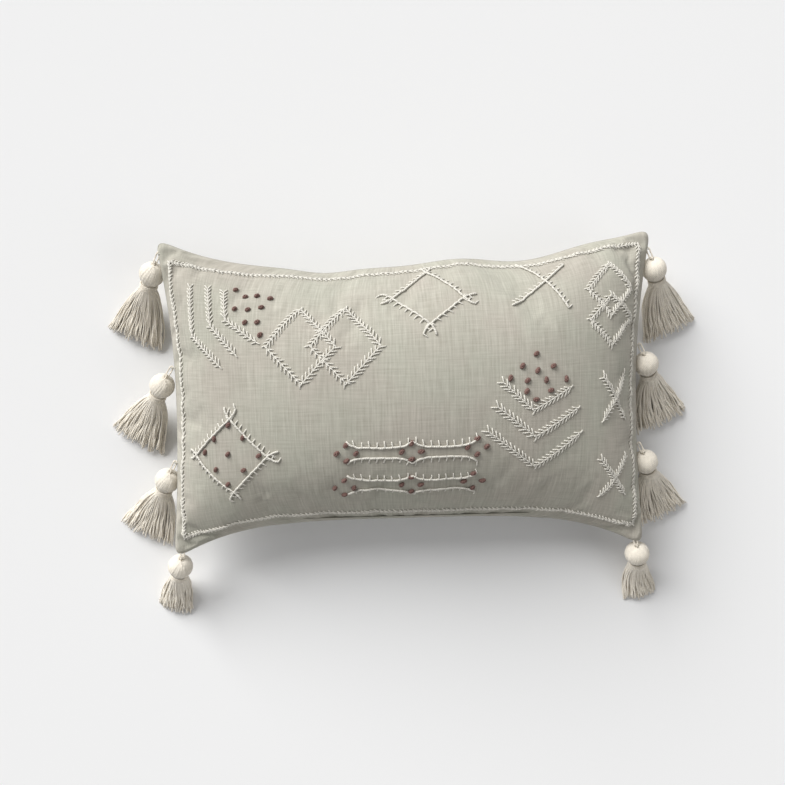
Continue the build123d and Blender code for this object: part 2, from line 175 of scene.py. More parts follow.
class ColourSettings(bpy.types.PropertyGroup):
    """Base colours of the cloths and yarns."""
    linen: colour_prop("Linen", "Cover cloth", (0.535, 0.515, 0.450))
    linen_dark: colour_prop("Linen shade", "Darker threads of the cover cloth", (0.315, 0.298, 0.250))
    embroidery: colour_prop("Embroidery", "Embroidery yarn", (0.760, 0.730, 0.655))
    knot: colour_prop("Knots", "Knot yarn", (0.190, 0.105, 0.088))
    tassel: colour_prop("Tassel", "Tassel yarn", (0.880, 0.815, 0.705))
    insert: colour_prop("Insert", "Insert bag", (0.850, 0.850, 0.830))
    metal: colour_prop("Zip metal", "Painted zip parts", (0.480, 0.460, 0.390))


class StageSettings(bpy.types.PropertyGroup):
    """Floor, lights and camera."""
    floor_colour: colour_prop("Floor", "Floor colour", (0.820, 0.820, 0.820))
    key_strength: number_prop("Key strength", "Strength of the soft sun", 4.35)
    key_direction: vector_prop("Key direction", "Where the soft sun stands", (-0.85, 1.1, 0.76))
    fill_strength: number_prop("Fill strength", "Strength of the weak sun opposite", 0.4)
    fill_direction: vector_prop("Fill direction", "Where the weak sun stands", (1.2, -0.5, 0.9))
    sky_strength: number_prop("Sky strength", "Strength of the even light all round", 0.32)
    camera_place: vector_prop("Camera place", "Where the camera stands", (-0.053, 0.095, 1.151),
                              unit="LENGTH")
    camera_target: vector_prop("Camera target", "What it looks at", (-0.0167, 0.0015, 0.058),
                               unit="LENGTH")
    camera_roll: number_prop("Camera roll", "Turn about its own axis", math.radians(-1.15),
                             -math.pi, subtype="ANGLE")
    lens: number_prop("Lens", "Focal length", 45.86, 1.0, unit="CAMERA")



SETTING_GROUPS = {
    "pillow": PillowSettings,
    "embroidery": EmbroiderySettings,
    "tassels": TasselSettings,
    "colours": ColourSettings,
    "stage": StageSettings,
}


def group_prop(group, name, description):
    """One group of settings."""
    return bpy.props.PointerProperty(type=group, name=name, description=description)


class PillowSceneSettings(bpy.types.PropertyGroup):
    """All settings of the pillow."""
    pillow: group_prop(PillowSettings, "Pillow", "Pillow sizes")
    embroidery: group_prop(EmbroiderySettings, "Embroidery", "Embroidery sizes")
    tassels: group_prop(TasselSettings, "Tassels", "Tassel sizes")
    colours: group_prop(ColourSettings, "Colours", "Colours")
    stage: group_prop(StageSettings, "Stage", "Floor, lights and camera")



def settings():
    """The scene's pillow settings."""
    return bpy.context.scene.lumbar_pillow


# ---- numpy helpers ----------------------------------------------------------------------------
NOSE = 0.6  # how far a tube's end point stands out, in tube radii
UV_STAGGER = 0.00137  # shift of the uv from one tube to the next


def smooth(x):
    """Smooth step: 3x^2 - 2x^3 of x held between 0 and 1."""
    x = np.clip(x, 0.0, 1.0)
    return x * x * (3.0 - 2.0 * x)


def unit(v):
    """Vectors divided by their length."""
    return v / np.maximum(np.linalg.norm(v, axis=-1, keepdims=True), 1e-12)


def rng(seed):
    """Seeded random numbers."""
    return np.random.default_rng(seed)


def refine(grid, times, axis):
    """Catmull-Rom curve through the grid's points along one axis, with `times` steps per cell.

    Between points p1 and p2 it is the cubic with end slopes (p2 - p0)/2 and (p3 - p1)/2.
    """
    g = np.moveaxis(grid, axis, 0)
    n = len(g)
    where = np.arange((n - 1) * times + 1) / times
    i = np.minimum(where.astype(int), n - 2)
    f = (where - i).reshape(-1, *([1] * (g.ndim - 1)))
    padded = np.concatenate([2 * g[:1] - g[1:2], g, 2 * g[-1:] - g[-2:-1]])
    p0, p1, p2, p3 = (padded[i + k] for k in range(4))
    slope_a = 0.5 * (p2 - p0)
    slope_b = 0.5 * (p3 - p1)
    out = ((2 * f**3 - 3 * f**2 + 1) * p1 + (f**3 - 2 * f**2 + f) * slope_a
           + (3 * f**2 - 2 * f**3) * p2 + (f**3 - f**2) * slope_b)
    return np.moveaxis(out, 0, axis)


def grid_normals(grid):
    """Unit normals of a grid surface: the cross product of its two gradients."""
    du = np.gradient(grid, axis=0)
    dv = np.gradient(grid, axis=1)
    return unit(np.cross(du, dv))


def new_mesh(name, points, faces, uv=None):
    """Mesh object from points and a list of face index arrays of equal width each.

    uv, when given, holds one pair of numbers for each face corner, in the order of the faces.
    """
    corners = np.concatenate([f.ravel() for f in faces]).astype(np.int32)
    sizes = np.concatenate([np.full(len(f), f.shape[1], np.int32) for f in faces])
    starts = np.concatenate([[0], np.cumsum(sizes)[:-1]]).astype(np.int32)
    mesh = bpy.data.meshes.new(name)
    mesh.vertices.add(len(points))
    mesh.vertices.foreach_set("co", np.asarray(points, np.float32).ravel())
    mesh.loops.add(len(corners))
    mesh.loops.foreach_set("vertex_index", corners)
    mesh.polygons.add(len(sizes))
    mesh.polygons.foreach_set("loop_start", starts)
    mesh.polygons.foreach_set("use_smooth", np.ones(len(sizes), bool))
    if uv is not None:
        layer = mesh.uv_layers.new(name="flat")
        layer.data.foreach_set("uv", np.asarray(uv, np.float32).ravel())
    mesh.update(calc_edges=True)
    mesh.validate()
    obj = bpy.data.objects.new(name, mesh)
    bpy.context.scene.collection.objects.link(obj)
    return obj


def rim_of(shape):
    """Mask of the grid points on the rim."""
    rim = np.ones(shape, bool)
    rim[1:-1, 1:-1] = False
    return rim


def grid_quads(index):
    """Quads between neighbouring points of an index grid."""
    corners = [index[:-1, :-1], index[1:, :-1], index[1:, 1:], index[:-1, 1:]]
    return np.stack(corners, -1).reshape(-1, 4)


def ring_faces(rings, sides):
    """Outward quads between stacked rings, and the triangles to a point beyond each end.

    The two end points follow the rings' points.
    """
    i = np.arange(rings - 1)[:, None] * sides
    j = np.arange(sides)
    j2 = (j + 1) % sides
    quads = np.stack([i + j2, i + sides + j2, i + sides + j, i + j], -1).reshape(-1, 4)
    pole = rings * sides
    last = pole - sides
    start = np.stack([j2, j, np.full(sides, pole)], -1)
    end = np.stack([last + j, last + j2, np.full(sides, pole + 1)], -1)
    return quads, np.concatenate([start, end])


def square_to(ahead, across):
    """Unit vectors across made square to ahead, and the unit vectors square to both."""
    n = unit(across - ahead * np.sum(across * ahead, -1, keepdims=True))
    return n, np.cross(ahead, n)


def length_along(paths):
    """Distance from the start of each path to each of its points."""
    step = np.linalg.norm(np.diff(paths, axis=-2), axis=-1)
    return np.concatenate([np.zeros((*step.shape[:-1], 1)), np.cumsum(step, -1)], -1)


def tubes(paths, across, radius, sides=6):
    """Closed round tubes along many paths of equal point count, as points, faces and uv.

    A ring at each path point is c + r (cos a n + sin a b), where n is `across` made square to
    the path's direction and b = direction x n.  A point at each end closes the tube.
    paths and across are (m, k, 3).  uv is the turn about the tube and the metres along it.
    """
    m, k, _ = paths.shape
    ahead = unit(np.gradient(paths, axis=1))
    n, b = square_to(ahead, across)
    a = np.arange(sides) * 2 * np.pi / sides
    ring = n[:, :, None] * np.cos(a)[:, None] + b[:, :, None] * np.sin(a)[:, None]
    body = paths[:, :, None] + ring * radius
    nose = paths[:, [0, -1]] + ahead[:, [0, -1]] * radius * np.array([-NOSE, NOSE])[:, None]
    points = np.concatenate([body.reshape(m, -1, 3), nose], 1)
    quads, tris = ring_faces(k, sides)
    shift = (np.arange(m) * (k * sides + 2))[:, None, None]
    quads = (quads[None] + shift).reshape(-1, 4)
    tris = (tris[None] + shift).reshape(-1, 3)
    run = length_along(paths) + np.arange(m)[:, None] * UV_STAGGER
    i, j = np.meshgrid(np.arange(k - 1), np.arange(sides), indexing="ij")
    turn = np.broadcast_to((j[..., None] + [1, 1, 0, 0]) / sides, (m, k - 1, sides, 4))
    uv_quads = np.stack([turn, run[:, i[..., None] + [0, 1, 1, 0]]], -1).reshape(-1, 2)
    j = np.arange(sides)
    tip = np.stack([j + 1, j, j + 0.5], -1) / sides
    tips = np.broadcast_to(np.concatenate([tip, tip]), (m, 2 * sides, 3))
    ends = np.repeat(run[:, [0, -1]], sides, axis=1)[..., None] + np.zeros(3)
    uv_tris = np.stack([tips, ends], -1).reshape(-1, 2)
    return points.reshape(-1, 3), [quads, tris], np.concatenate([uv_quads, uv_tris])


def merged(name, parts):
    """One mesh object from several sets of tubes or surfaces."""
    points = []
    faces_of = {4: [], 3: []}
    uv_of = {4: [], 3: []}
    offset = 0
    for pts, faces, uv in parts:
        start = 0
        for f in faces:
            faces_of[f.shape[1]].append(f + offset)
            uv_of[f.shape[1]].append(uv[start:start + f.size])
            start += f.size
        points.append(pts)
        offset += len(pts)
    faces = [np.concatenate(kind) for kind in faces_of.values() if kind]
    uv = np.concatenate([part for kind in uv_of.values() for part in kind])
    return new_mesh(name, np.concatenate(points), faces, uv)


# ---- the stuffed cover ------------------------------------------------------------------------
def flat_places(n, m):
    """Even grid of n by m places over the flat panel, as x and y."""
    s = settings().pillow
    return np.meshgrid(np.linspace(-0.5, 0.5, n) * s.flat_length,
                       np.linspace(-0.5, 0.5, m) * s.flat_height, indexing="ij")


def cut_panel():
    """Flat positions of the cloth grid's points, with the panel's four corners rounded.

    In each corner square the point inner + r (a, b) moves to inner + r (a, b) max(a, b)/|(a, b)|.
    """
    s = settings().pillow
    x, y = flat_places(round(s.flat_length / s.cell) + 1, round(s.flat_height / s.cell) + 1)
    r = s.corner_radius
    inner_x = 0.5 * s.flat_length - r
    inner_y = 0.5 * s.flat_height - r
    a = np.clip((np.abs(x) - inner_x) / r, 0, None)
    b = np.clip((np.abs(y) - inner_y) / r, 0, None)
    pull = np.where((a > 0) & (b > 0), np.maximum(a, b) / np.maximum(np.hypot(a, b), 1e-9), 1.0)
    return (np.where(a > 0, np.sign(x) * (inner_x + a * r * pull), x),
            np.where(b > 0, np.sign(y) * (inner_y + b * r * pull), y))


def bag_faces(shape):
    """Quads of a two-layer bag whose layers share their rim, with all faces outwards.

    Also gives the points in use and both layers' indices into the points of both grids.
    """
    top = np.arange(shape[0] * shape[1]).reshape(shape)
    low = top + top.size
    rim = rim_of(shape)
    low[rim] = top[rim]
    front, back = grid_quads(top), grid_quads(low)[:, [0, 3, 2, 1]]
    used, packed = np.unique(np.concatenate([front, back]), return_inverse=True)
    return used, packed.reshape(-1, 4), top, low


# how the stuffed shape swells, folds and starts under pressure
MOST_CROWDED = 0.83
SWELL_POWER = 0.58
SEAM_TAKE_UP = 0.9988
START_HEIGHT = 0.94
FOLD_START = 0.05
FOLD_REACH = 0.055
PUCKER_START = 0.006
PUCKER_REACH = 0.014
SLOT_REACH = 0.03
SLOT_TAPER = 0.008  # length over which each end of the zip's opening closes
FLOOR_SOFTNESS = 0.003  # how gently the back panel comes to rest on the floor
LUMP_SEED, FOLD_SEED, PUCKER_SEED = 50, 60, 70
LINEN_CLOTH = {
    "quality": 7, "mass": 0.15,
    "tension_stiffness": 30, "compression_stiffness": 18, "shear_stiffness": 10,
    "bending_stiffness": 0.25, "tension_damping": 10, "compression_damping": 10,
    "shear_damping": 5, "bending_damping": 0.8, "air_damping": 2.0, "shrink_min": -0.02,
    "use_pressure": True, "uniform_pressure_force": 4, "pin_stiffness": 1.0,
}


def half_length(v):
    """Half length of the seam outline at height fraction v: mid + (corner - mid) v^2."""
    corner = np.where(v > 0, HALF_LENGTH["top"], HALF_LENGTH["low"])
    return HALF_LENGTH["mid"] + (corner - HALF_LENGTH["mid"]) * v * v


def half_height(u, v):
    """Half height of the seam outline at length fraction u: mid + (corner - mid) |u|^4."""
    corner = np.where(v > 0, HALF_HEIGHT["top"], HALF_HEIGHT["low"])
    return HALF_HEIGHT["mid"] + (corner - HALF_HEIGHT["mid"]) * np.abs(u) ** WAIST_POWER


def crowd(s, ratio):
    """Plan fraction at arc fraction s of a swell: (1 - k) s + k sin(pi s / 2).

    k = most (1 - e^(-4 ratio)).  The ratio is the swell's depth over its half width, so the cloth
    rises steeply beside the seam of a full swell and lies flat in the ears.
    """
    k = MOST_CROWDED * (1 - np.exp(-4 * ratio))
    return (1 - k) * s + k * np.sin(0.5 * np.pi * s)


def lumps(x, y, seed, count, shortest, longest):
    """Sum of crossed sine waves of random heading and length, between -1 and 1."""
    random = rng(seed)
    total = np.zeros_like(x)
    for _ in range(count):
        heading = random.uniform(0, np.pi)
        length = random.uniform(shortest, longest)
        run = x * np.cos(heading) + y * np.sin(heading)
        total += np.sin(2 * np.pi * run / length + random.uniform(0, 2 * np.pi))
    return total / count


def corner_folds(x, y, u, v, seed):
    """Soft folds that fan from each corner: cos(6 angle), fading out with distance."""
    random = rng(seed)
    total = np.zeros_like(x)
    for side_x in (-1, 1):
        for side_y in (-1, 1):
            end = "top" if side_y > 0 else "low"
            dx = HALF_LENGTH[end] - side_x * x
            dy = HALF_HEIGHT[end] - side_y * y
            away = np.hypot(dx, dy)
            angle = np.arctan2(dy, dx)
            fade = np.exp(-away / FOLD_REACH) * smooth(away / FOLD_START)
            total += random.uniform(0.7, 1.3) * fade * np.cos(6 * angle + random.uniform(0, 6))
    return total * ((1 - u**2) * (1 - v**2)).clip(0, 1) ** 0.25


def stuffed(side):
    """One panel as stuffed: height is depth ((1 - u^2)(1 - v^2))^0.58 over the seam outline."""
    s = settings().pillow
    cut_x, cut_y = cut_panel()
    a = 2 * cut_x / s.flat_length
    b = 2 * cut_y / s.flat_height
    u, v = a, b
    for _ in range(8):
        over_x = FRONT_DEPTH * np.sqrt(np.clip(1 - v**2, 0, 1)) / half_length(v)
        over_y = FRONT_DEPTH * np.sqrt(np.clip(1 - u**2, 0, 1)) / half_height(u, v)
        u, v = crowd(a, over_x), crowd(b, over_y)
    x = u * half_length(v) * SEAM_TAKE_UP
    y = v * half_height(u, v) * SEAM_TAKE_UP
    for place, sink, width in SEAM_DIPS:
        y = y - sink * np.exp(-(((x - place) / width) ** 2)) * np.clip(v, 0, 1) ** 2
    level = np.clip((1 - u**2) * (1 - v**2), 0, 1) ** SWELL_POWER
    depth = FRONT_DEPTH if side > 0 else BACK_DEPTH
    z = depth * level + s.fold_height * corner_folds(x, y, u, v, FOLD_SEED + side)
    z += s.lump_height * lumps(x, y, LUMP_SEED + side, 7, 0.09, 0.24) * level**0.5
    z[rim_of(z.shape)] = 0.0
    return np.stack([x, y, side * z], -1)


def inflate(front, back):
    """Both panels after air pressure has filled them out, with the seam held.

    The cloth starts a little flat.  A point that moved by d ends at start + d / sqrt(1 + |d|^2/c^2),
    with c the limit in the settings.
    """
    both = np.concatenate([front.reshape(-1, 3), back.reshape(-1, 3)])
    used, faces, top, low = bag_faces(front.shape[:2])
    flatter = both * [1, 1, START_HEIGHT]
    bag = new_mesh("bag_under_pressure", flatter[used], [faces])
    rim = np.isin(used, top[rim_of(top.shape)])
    seam = bag.vertex_groups.new(name="seam")
    seam.add(np.flatnonzero(rim).tolist(), 1.0, "REPLACE")
    cloth = bag.modifiers.new("pressure", "CLOTH")
    set_cloth(cloth, seam.name)
    scene = bpy.context.scene
    for step in range(1, CLOTH_STEPS + 1):
        scene.frame_set(step)
    blown = bag.evaluated_get(bpy.context.evaluated_depsgraph_get())
    found = np.zeros(len(used) * 3, np.float32)
    blown.data.vertices.foreach_get("co", found)
    bpy.data.objects.remove(bag)
    scene.frame_set(1)
    moved = found.reshape(-1, 3) - both[used]
    far = np.linalg.norm(moved, axis=-1, keepdims=True) / settings().pillow.swell_limit
    whole = both.copy()
    whole[used] += moved / np.sqrt(1 + far**2)
    return whole[top], whole[low]


def set_cloth(cloth, seam):
    """Linen under air pressure, with gravity off, a little slack and its seam held."""
    for name, value in LINEN_CLOTH.items():
        setattr(cloth.settings, name, value)
    cloth.settings.effector_weights.gravity = 0
    cloth.settings.vertex_group_mass = seam
    cloth.collision_settings.use_collision = False
    cloth.point_cache.frame_end = CLOTH_STEPS + 1


class Cover:
    """The stuffed cover's two dense grids, and the way from flat positions to its surface."""

    def __init__(self):
        front, back = stuffed(1), stuffed(-1)
        front, back = inflate(front, back)
        self.size = settings().pillow.flat_length, settings().pillow.flat_height
        self.front = self.finished(front, 1)
        self.back = self.finished(back, -1)
        self.front_normal = grid_normals(self.front)

    def finished(self, grid, side):
        """Dense grid with the zip's opening, stitched puckers by the seam and its place."""
        g = refine(refine(grid, DENSITY, 0), DENSITY, 1)
        x, y = flat_places(*g.shape[:2])
        edge = np.minimum(self.size[0] / 2 - np.abs(x), self.size[1] / 2 - np.abs(y))
        puckers = lumps(x, y, PUCKER_SEED + side, 5, 0.011, 0.024)
        puckers = puckers * np.exp(-edge / PUCKER_REACH) * smooth(edge / PUCKER_START)
        g = g + side * grid_normals(g) * (settings().pillow.pucker_height * puckers)[..., None]
        past_end = SLOT_HALF_LENGTH + SLOT_TAPER / 2 - np.abs(g[..., 0])
        opening = smooth(past_end / SLOT_TAPER) * (y < 0)
        g[..., 2] += side * SLOT_HALF_RISE * opening * smooth(1 - edge / SLOT_REACH)
        g[..., 2] += SEAM_Z
        if side < 0:
            g[..., 2] = FLOOR_SOFTNESS * np.logaddexp(0, g[..., 2] / FLOOR_SOFTNESS)
        return g

    def flat_to(self, x, y, grid):
        """Bilinear value of a dense grid at flat positions."""
        n, m, _ = grid.shape
        a = np.clip((x / self.size[0] + 0.5) * (n - 1), 0, n - 1.001)
        b = np.clip((y / self.size[1] + 0.5) * (m - 1), 0, m - 1.001)
        i, j = a.astype(int), b.astype(int)
        f, g = (a - i)[..., None], (b - j)[..., None]
        return ((grid[i, j] * (1 - f) + grid[i + 1, j] * f) * (1 - g)
                + (grid[i, j + 1] * (1 - f) + grid[i + 1, j + 1] * f) * g)

    def place(self, flat):
        """Points (x, y, height) over the flat panel, carried to the front with its normals."""
        p = self.flat_to(flat[..., 0], flat[..., 1], self.front)
        n = unit(self.flat_to(flat[..., 0], flat[..., 1], self.front_normal))
        return p + n * flat[..., 2:3], n

    def flat_of(self, plan):
        """Flat position that lies under a plan position, found by repeated correction."""
        plan = np.asarray(plan, float)
        flat = plan * [0.5 * self.size[0] / HALF_LENGTH["mid"], 0.5 * self.size[1] / HALF_HEIGHT["mid"]]
        near, reach = np.array([0.26, 0.16]), np.array([0.268, 0.168])
        flat = np.clip(flat, -near, near)
        for _ in range(80):
            here = self.flat_to(flat[..., 0], flat[..., 1], self.front)[..., :2]
            flat = np.clip(flat + 0.6 * (plan - here), -reach, reach)
        return flat


_cover = {}


def cover():
    """The cover's shape, worked out once."""
    if "shape" not in _cover:
        _cover["shape"] = Cover()
    return _cover["shape"]


def joint(name):
    """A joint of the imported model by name."""
    return next(j for j in frame["joints"] if j["name"] == name)


def panel_mesh(name, grid, outwards):
    """Cloth panel on a dense grid, its flat positions as uv, thickened inwards."""
    n, m, _ = grid.shape
    quads = grid_quads(np.arange(n * m).reshape(n, m))
    if not outwards:
        quads = quads[:, ::-1]
    flat = np.stack(flat_places(n, m), -1).reshape(-1, 2)
    obj = new_mesh(name, grid.reshape(-1, 3), [quads], flat[quads].reshape(-1, 2))
    wall = obj.modifiers.new("cloth thickness", "SOLIDIFY")
    wall.thickness = settings().pillow.cloth_thickness
    wall.offset = -1.0
    return obj


# ---- embroidery -------------------------------------------------------------------------------
FLY_STEEPNESS = 1.2
BLANKET_OVERRUN = 0.011
CROSS_OVERRUN = 0.002
BLANKET_CURL = 26.0
CUSP_HEIGHT = 0.0070
CUSP_WIDTH = 0.0055
KNOT_TURNS = 2.4
KNOT_REACH = 0.00180
KNOT_YARN_RADIUS = 0.00098


def legs_of(corners):
    """Straight legs between flat corners, as an array of start and end points."""
    corners = np.asarray(corners, float)
    return np.stack([corners[:-1], corners[1:]], 1)


def along(leg, pitch):
    """Places evenly spaced along one leg, its direction and the exact spacing."""
    span = leg[1] - leg[0]
    length = float(np.linalg.norm(span))
    count = max(1, round(length / pitch))
    t = (np.arange(count) + 0.5) / count
    direction = span / length
    return leg[0] + span * t[:, None], direction, length / count


def to_flat(origin, direction, ahead, aside, height):
    """Points given ahead of and to the left of flat origins, with their heights."""
    direction = np.broadcast_to(direction, origin.shape)
    each = np.zeros((len(origin), 1))
    ahead, aside, height, _ = np.broadcast_arrays(ahead, aside, height, each)
    left = np.stack([-direction[..., 1], direction[..., 0]], -1)
    flat = (origin[:, None] + direction[:, None] * ahead[..., None] + left[:, None] * aside[..., None])
    return np.concatenate([flat, height[..., None]], -1)


def laid_yarn(flat, radius):
    """Tubes of yarn over flat paths (m, k, 3), carried to the front of the cover."""
    points, normals = cover().place(flat)
    return tubes(points, normals, radius)


def fly_stitches(legs, seed):
    """Rows of fly stitches: V shaped loops, each held down by a short stitch at its point.

    A loop runs through (aside, ahead) = (w q, a |q|) for q from -1 to 1, at height
    r (1.2 - 1.8 q^6), so that both its ends dive into the cloth.  The short stitch has height
    r (1.5 - 2.2 |2t - 1|^4) for t from 0 to 1.
    """
    s = settings().embroidery
    r = s.yarn_radius
    random = rng(seed)
    parts = []
    q = np.linspace(-1, 1, 9)
    t = np.linspace(0, 1, 5)
    for leg in legs:
        origin, direction, step = along(np.asarray(leg, float), s.fly_pitch)
        m = len(origin)
        turn = random.normal(0, 0.06, (m, 1))
        d = np.concatenate([direction[0] - turn * direction[1], direction[1] + turn * direction[0]], 1)
        wide = s.fly_half_width * random.uniform(0.88, 1.12, (m, 1))
        tall = FLY_STEEPNESS * s.fly_half_width * random.uniform(0.85, 1.15, (m, 1))
        loop = to_flat(origin, d, tall * np.abs(q), wide * q, r * (1.2 - 1.8 * q**6))
        held = r * (1.5 - 2.2 * np.abs(2 * t - 1) ** 4)
        hold = to_flat(origin, d, 0.4 * r - step * t, 0.0, held)
        parts += [laid_yarn(loop, r), laid_yarn(hold, r)]
    return parts


def blanket_row(start, end, seed, side=1, over=0.0, curl=0.0, bend=None):
    """Row of blanket stitches: a raised edge of linked loops with teeth on one side.

    The edge yarn has height 1.45 r (1.25 - 0.6 |2t|^4) and a tooth has r (1.5 - 2.1 q^3), so that
    their ends dive into the cloth.  The row runs on past both ends by `over`, turning aside by
    curl x^2 there.  bend(flat) moves every flat point, for rows that aren't straight.
    """
    s = settings().embroidery
    r = s.yarn_radius
    random = rng(seed)
    start, end = np.asarray(start, float), np.asarray(end, float)
    direction = (end - start) / np.linalg.norm(end - start)
    first, last = start - direction * over, end + direction * over
    origin, _, step = along(np.stack([first, last]), s.blanket_pitch)
    m = len(origin)
    length = np.linalg.norm(last - first)
    t = np.linspace(-0.5, 0.5, 6)
    rise = 1.45 * r * (1.25 - 1.2 * np.abs(2 * t) ** 4 * 0.5)
    wobble = (random.normal(0, 0.25 * r, (m, 1)) - 0.55 * r * side) * (1 - (2 * t) ** 2)
    edge = to_flat(origin, direction, step * 1.08 * t, wobble, rise)
    q = np.linspace(0, 1, 6)
    reach = s.tooth_length * random.uniform(0.85, 1.15, (m, 1)) * side
    lean = random.normal(-0.12, 0.12, (m, 1)) * s.tooth_length
    tooth = to_flat(origin + direction * step / 2, direction, lean * q, reach * q,
                    r * (1.5 - 2.1 * q**3))

    def shaped(flat):
        """Curl the row's ends aside and bend the row."""
        flat = flat.copy()
        x = (flat[..., :2] - first) @ direction
        past = np.clip(over - x, 0, None) + np.clip(x - (length - over), 0, None)
        left = np.array([-direction[1], direction[0]]) * side
        flat[..., :2] += left * (curl * past**2)[..., None]
        return bend(flat) if bend else flat

    return [laid_yarn(shaped(edge), 1.4 * r), laid_yarn(shaped(tooth), r)]


def plan_to_flat(points):
    """Flat places of plan positions on the stuffed front."""
    return cover().flat_of(np.asarray(points, float))


def diamond_corners(x, y, half_width, half_up):
    """Top, right, low, left and again top corner of a diamond."""
    return ((x, y + half_up), (x + half_width, y), (x, y - half_up), (x - half_width, y),
            (x, y + half_up))


def blanket_diamond(shape, seed):
    """Diamond of four crossing blanket rows with their teeth outwards."""
    corners = plan_to_flat(diamond_corners(*shape))
    parts = []
    for i, leg in enumerate(legs_of(corners)):
        parts += blanket_row(leg[0], leg[1], seed + i, 1, BLANKET_OVERRUN, BLANKET_CURL)
    return parts


def band_row(y, side, seed):
    """One row of the centre bands, which swings out to a cusp beside each group of knots."""
    ends = plan_to_flat(((-BAND_HALF_LENGTH, y), (BAND_HALF_LENGTH, y)))
    cusps = plan_to_flat([(x, y) for x in BAND_CUSPS])[:, 0]

    def bend(flat):
        """Move points aside by a e^-|x / w| bump at each cusp."""
        gap = np.abs(flat[..., 0:1] - cusps)
        flat[..., 1] += side * CUSP_HEIGHT * np.exp(-gap / CUSP_WIDTH).sum(-1)
        return flat

    return blanket_row(ends[0], ends[1], seed, side, 0.0, 0.0, bend)


def cross_paths(x, y, half_width, half_up):
    """Two crossing bars."""
    return (((x - half_width, y + half_up), (x + half_width, y - half_up)),
            ((x + half_width, y + half_up), (x - half_width, y - half_up)))


def knot_tubes():
    """Wound yarn knots: a spiral that climbs and closes over its middle, longer than wide."""
    places = list(UPPER_KNOTS + RIGHT_KNOTS + DIAMOND_KNOTS)
    for x, y in BAND_CLUSTERS:
        places += [(x + dx, y + dy) for dx, dy in CLUSTER_KNOTS]
    origin = plan_to_flat(np.array(places) / 1000)
    m = len(origin)
    random = rng(31)
    q = np.linspace(0, 1, 22)
    turn = 2 * np.pi * KNOT_TURNS * q[None] + random.uniform(0, 2 * np.pi, (m, 1))
    reach = KNOT_REACH * (1 - 0.75 * q**3)
    slant = np.radians(random.normal(45, 22, m))
    d = np.stack([np.cos(slant), np.sin(slant)], -1)
    ahead = 1.5 * reach * np.cos(turn)
    aside = 0.8 * reach * np.sin(turn)
    coil = to_flat(origin, d, ahead, aside, 0.0003 + 0.0024 * q)
    return [laid_yarn(coil, KNOT_YARN_RADIUS)]


def rows_through(paths, seed):
    """Fly stitches along several plan paths."""
    parts = []
    for i, path in enumerate(paths):
        parts += fly_stitches(legs_of(plan_to_flat(path))[:, ::-1], seed + i)
    return parts


def motif_parts():
    """Every embroidered motif, as the tubes of its stitches."""
    bands = []
    for i, (y, side) in enumerate(BAND_ROWS):
        bands += band_row(y, side, 400 + i)
    crosses = [bar for shape in SMALL_CROSSES for bar in cross_paths(*shape)]
    large = []
    for i, (a, b) in enumerate(LARGE_CROSS):
        flat = plan_to_flat((a, b))
        large += blanket_row(flat[0], flat[1], 520 + i, 1, CROSS_OVERRUN, BLANKET_CURL)
    return {
        "border_stitching": fly_stitches(legs_of((*BORDER_POINTS, BORDER_POINTS[0])), 1),
        "left_chevrons": rows_through(LEFT_CHEVRONS, 100),
        "paired_diamonds": rows_through([diamond_corners(*d) for d in PAIRED_DIAMONDS], 120),
        "top_diamond": blanket_diamond(TOP_DIAMOND, 200),
        "large_cross": large,
        "figure_eight": rows_through([diamond_corners(*d) for d in FIGURE_EIGHT], 140),
        "right_chevrons": rows_through(RIGHT_CHEVRONS, 160),
        "small_crosses": rows_through(crosses, 180),
        "corner_diamond": blanket_diamond(CORNER_DIAMOND, 300),
        "centre_bands": bands,
        "yarn_knots": knot_tubes(),
    }


# ---- tassels ----------------------------------------------------------------------------------
UP = np.array([0, 0, 1.0])
LOOP_RADIUS = 0.0018
EYELET_RADIUS = 0.0019
HEAD_MIDDLE = 0.0150
NECK_START = 0.0280
NECK_END = 0.0345
NECK_RADIUS = 0.0079
WRAPPING_TURNS = 4.5
SIDE_LENGTH = 0.094
CORNER_LENGTH = 0.080
SIDE_SKIRT = (1.24, 0.030)  # longest strand over the skirt's length, and the fan's half width
CORNER_SKIRT = (1.38, 0.019)
SKIRT_THICKNESS = 0.0068
SKIRT_BELLY = 0.003
SKIRT_SAG = 0.006
STRAND_WAVE = 0.0016
STRAND_REST = 0.0011  # height at which strands settle on the floor
STRAND_SOFTNESS = 0.002  # how gently they come to rest there
STRAND_SINK = 0.0004  # how far all strands then sink
INNER_SETBACK = 0.003  # how far the inner strands start inside the neck
HEAD_TWIST = 0.22
HEAD_CORE = 0.955  # radius of the ball inside the head, in head radii
EYELET_YARN = 0.85  # radius of the eyelet's cord, in cord radii
WRAPPING_YARN_RADIUS = 0.00085
WRAPPING_STANDOFF = 0.0013
PLY_OFFSET, PLY_RADIUS = 0.5, 0.55  # in cord radii
FLOOR_CLEARANCE = 0.008


class TasselFrame:
    """Places and directions of one tassel, read from its two joints."""

    def __init__(self, name):
        swing = joint(name + "_swing")
        lift = joint(name + "_lift")
        self.tack = np.array(swing["pos_m"], float)
        self.eyelet = np.array(lift["pos_m"], float)
        axis = np.array(lift["axis"], float)
        self.heading = np.array([-axis[1], axis[0], 0.0])
        self.corner = name.endswith("4")
        self.length = CORNER_LENGTH if self.corner else SIDE_LENGTH
        sink = (SEAM_Z - FLOOR_CLEARANCE) / self.length
        self.ahead = self.heading * math.sqrt(1 - sink**2) - np.array([0, 0, sink])
        self.across = np.array([-self.heading[1], self.heading[0], 0.0])
        self.up = np.cross(self.ahead, self.across)

    def place(self, s, y, z):
        """Points at distance s along the tassel, y across it and z above its middle line."""
        return (self.eyelet + s[..., None] * self.ahead + y[..., None] * self.across
                + z[..., None] * self.up)


